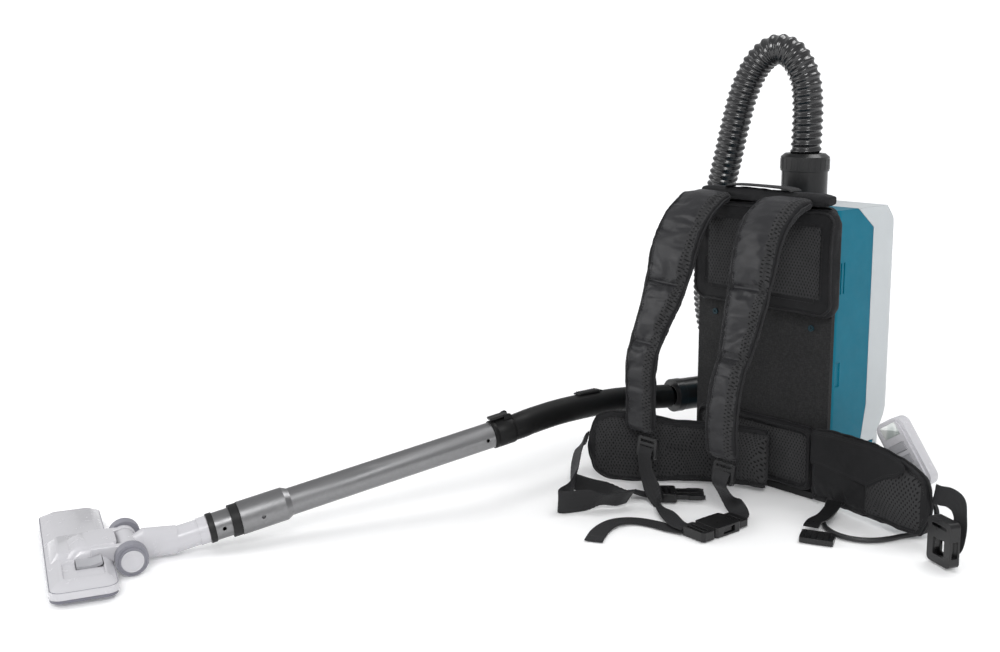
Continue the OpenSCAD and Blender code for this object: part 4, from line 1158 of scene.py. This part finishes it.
def flap():
    """The nylon cover over the right wing, with its rounded turned-down end."""
    plan = [(112, -36.8, 0), (150, -40.2, 0), (200, -51.2, 0), (255, -61.2, 0), (272, -63, 0)]
    path = even(spline(plan, 10), 3.0)
    run = Run(path, (0, 0, 1))
    out = -1 if run.out[3].y > 0 else 1
    top = table_of([(110, 112), (215, 119), (240, 117), (262, 112), (274, 101)])
    low = table_of([(110, 63), (215, 59), (240, 76), (262, 86), (274, 99)])
    steps = [k / 22 for k in range(23)]
    rings, along, over = [], [], []
    for p, at, way in zip(path, run.at, run.out):
        ring = []
        for face, t in [(1, t) for t in steps] + [(-1, t) for t in reversed(steps)]:
            z = low(p.x) + (top(p.x) - low(p.x)) * t
            ripple = 1.1 * noise.noise(Vector((at / 22, z / 17, 2.0)))
            lift = 1.1 * face * (1 - (2 * t - 1) ** 10) ** 0.5 + ripple + 1.3 * (1 - t) ** 2
            ring.append(Vector((p.x, p.y, z)) + out * lift * way)
            along.append(at)
            over.append(z + face)
        rings.append(ring)
    piece = skin("belt_flap", rings, SMOOTH_NYLON)
    weave(piece, along, over)
    refine(piece)
    enter(piece, "wing_flap")
    lines = [[Vector((p.x, p.y, edge(p.x) + way * inset)) + out * 6 * d
              for p, d in zip(path, run.out) if p.x < 266]
             for inset in (3.0, 5.6) for edge, way in ((low, 1), (top, -1))]
    stitched("flap_stitching", Surface(piece), lines, lift=0.1)


def yoke():
    """The padded roll across the top of the back plate."""
    start, stop, middle = -106, 118, 6
    rings = []
    for x in np.arange(start, stop + 0.1, 4):
        end = min(1.0, 0.75 + 0.25 * min(x - start, stop - x) / 14)
        rings.append([Vector((x, -17, 435.4)) + Vector((0, 14.2 * a * end, 8.9 * b * end))
                      for a, b in boxy(28, 3.4)])
    piece = skin("top_roll", rings, SMOOTH_NYLON)

    def to_seam(co):
        return np.abs(np.abs(co[:, 0] - middle) - 60)
    puff(piece, lambda co: bump_at(to_seam(co), 3), 4.5, 1.6, 3.0, 0.03)
    co = points_of(piece)
    seam = 1.2 * bump_at(to_seam(co), 1.8) + 0.8 * bump_at(co[:, 1] + 28, 2.0)
    carve(piece, 0.5 * wrinkle(co[:, 0] / 30.0, co[:, 1] / 12.0, co[:, 2] / 12.0) + seam)
    co = points_of(piece)
    weave(piece, co[:, 0], co[:, 1] + co[:, 2])
    enter(piece, "top_yoke")


flap()
yoke()


# ---- handle, wand and nozzle

WAND = (Matrix.Translation(WAND_AT) @ Matrix.Rotation(-WAND_YAW, 4, "Z")
        @ Matrix.Rotation(WAND_PITCH - math.pi / 2, 4, "X"))
NOZZLE_PLACE = Matrix.Translation(NOZZLE_AT) @ Matrix.Rotation(-NOZZLE_YAW, 4, "Z")


def lathe(name, profile, place, material, sides=48):
    """A closed ring turned about the local Z axis, from (radius, height) points in a loop."""
    count = len(profile)
    verts, faces = [], []
    for j in range(sides):
        a = math.tau * j / sides
        verts += [place @ Vector((r * math.cos(a), r * math.sin(a), z)) for r, z in profile]
    for j in range(sides):
        k = (j + 1) % sides
        for i in range(count):
            n = (i + 1) % count
            faces.append((j * count + i, k * count + i, k * count + n, j * count + n))
    return mesh_object(name, verts, faces, material)


def handle():
    """The bent grip, the collar at its lower end and the two lugs that hold its catch."""
    path = even(spline(HANDLE_ROUTE, 14), 2.0)
    full = length_of(path)

    def radius(at, angle, way):
        """A seam line along each side, a swollen middle, ribs below and a narrower upper end."""
        t = at / full
        lift = way.z
        if t < 0.05:
            return GRIP_RADIUS - 1.0 + 20 * t
        r = GRIP_RADIUS + 0.5 * math.sin(math.pi * min(1, max(0, (t - 0.1) / 0.8))) * (1 - abs(lift))
        r -= 0.45 * math.exp(-((abs(lift) - 0.12) / 0.05) ** 2) * (t < 0.93)
        if lift < -0.55 and 0.38 < t < 0.72:
            r += 0.35 * (math.sin(at * math.tau / 9.0) > 0.2) - 0.2
        return r
    parts = [tube("curved_grip", path, radius, HANDLE, 48)]
    profile = [(18.35, 405), (19.1, 405), (19.8, 405.7), (20, 407), (20, 411), (19.5, 411.6),
               (19.5, 412.4), (20, 413), (20, 435), (19.4, 437.5), (18.2, 438.4), (17.8, 437)]
    parts.append(lathe("grip_collar", profile, WAND, HANDLE))
    outline = [(-16, 20), (-24, 22), (-25.8, 25), (-25.8, 30), (-24, 32), (-16, 34)]
    along = (WAND @ Vector((0, 0, COLLAR_AT)) - WAND @ Vector((0, 0, 0))) * MM
    for x in (-8, 8):
        rings = [[WAND @ Vector((x + e, y, z)) for y, z in outline] for e in (-1.2, 1.2)]
        lug = round_edges(skin("lug", rings, HANDLE, smooth=False), 0.5)
        lug.data.transform(Matrix.Translation(along))
        parts.append(lug)
    body = join("curved_handle", parts)
    body.data.set_sharp_from_angle(angle=math.radians(50))
    enter(body, "handle_tube")


def nozzle_cover():
    """The glossy moulded top of the floor nozzle: sloping blocks with softened creases."""
    def stack(*levels):
        return [[Vector((x, y, z)) for x, y in round_box(*box)] for z, box in levels]

    plate = stack((9.5, (0, 0, 279, 79.6, 14)), (17, (0, 0, 277.6, 78.4, 14)),
                  (25.6, (0, 1, 246, 54, 9)))
    hump = stack((20, (15, 0, 88, 68, 8)), (30.5, (16, 5, 62, 60, 8)))
    housing = stack((20, (NECK_X, 12, 66, 64, 12)), (33, (NECK_X, 19, 60, 55, 11)),
                    (37.6, (NECK_X, 23, 50, 44, 10)))
    solids = [round_edges(skin("block", rings, NOZZLE), soft, 4)
              for rings, soft in ((plate, 1.6), (hump, 2.2), (housing, 2.2))]
    arc = [math.radians(a) for a in range(-60, 121, 12)]
    cheek = [(12, 19.2), *((58 + 15.0 * math.cos(a), 23 + 14.2 * math.sin(a)) for a in arc), (14, 36.4)]
    for x in (NECK_X - CHEEK_X, NECK_X + CHEEK_X):
        rings = [[Vector((x + e, y, z)) for y, z in cheek] for e in (-4.9, 4.9)]
        solids.append(round_edges(skin("cheek", rings, NOZZLE), 1.6))

    cutters = [  # room for the neck's drum, the neck, the rocker's tray and the rocker
        [[Vector((NECK_X + x, y, z)) for y, z in circle(64, 19, NECK_PIVOT)] for x in (-23.3, 23.3)],
        stack(*((z, (NECK_X, 78, 46.6, 60, 1)) for z in (-5, 60))),
        stack((23.2, (91, 2, 44, 45, 3)), (34, (93, 2, 60, 58, 4))),
        stack((18.6, (74.6, 10.1, 26.4, 32.4, 0.8)), (34, (74.6, 10.1, 27, 33, 0.8))),
    ]
    for rings in cutters:
        for solid in solids:
            boolean(solid, skin("cutter", rings, NOZZLE))
    for sx in (-1, 1):
        for ends, centre in (((32, 51), WHEEL_AXLE), ((14.5, 26), NECK_PIVOT)):
            solids.append(rod("stub", [NECK_X + sx * x for x in ends], 3.9, centre, GREY))
    body = join("nozzle_cover", solids)
    body.data.transform(Matrix.LocRotScale(NOZZLE_AT * MM, NOZZLE_PLACE.to_quaternion(), None))
    body.data.shade_smooth()
    body.data.set_sharp_from_angle(angle=math.radians(40))
    enter(body, "nozzle_shell", "nozzle")


def wheel_hubs():
    """A white disc pressed in each wheel, with a raised rim."""
    profile = [(0.3, 14.6), (8.6, 14.6), (8.8, 18.3), (13.2, 18.3), (13.8, 18.9), (13.6, 19.5),
               (12.6, 19.9), (11.4, 19.7), (10.6, 19.2), (6.0, 19.8), (0.3, 20.0)]
    for sx, body in ((-1, "wheel_a"), (1, "wheel_b")):
        place = (NOZZLE_PLACE @ Matrix.Translation((NECK_X + sx * 34.4, *WHEEL_AXLE))
                 @ Matrix.Rotation(sx * math.pi / 2, 4, "Y"))
        hub = lathe("wheel_hub_" + body[-1], profile, place, NOZZLE)
        hub.data.set_sharp_from_angle(angle=math.radians(40))
        enter(hub, body=body)


def neck_ring():
    """The dark sealing ring on the spigot's flange."""
    profile = [(18.3, 0.7), (18.9, 0.5), (19.3, 0.9), (19.4, 1.6), (19.4, 7.4), (19.3, 8.1), (18.9, 8.5),
               (18.3, 8.3)]
    enter(lathe("spigot_ring", profile, WAND, FRAME), body="nozzle_spigot")


handle()
nozzle_cover()
wheel_hubs()
neck_ring()
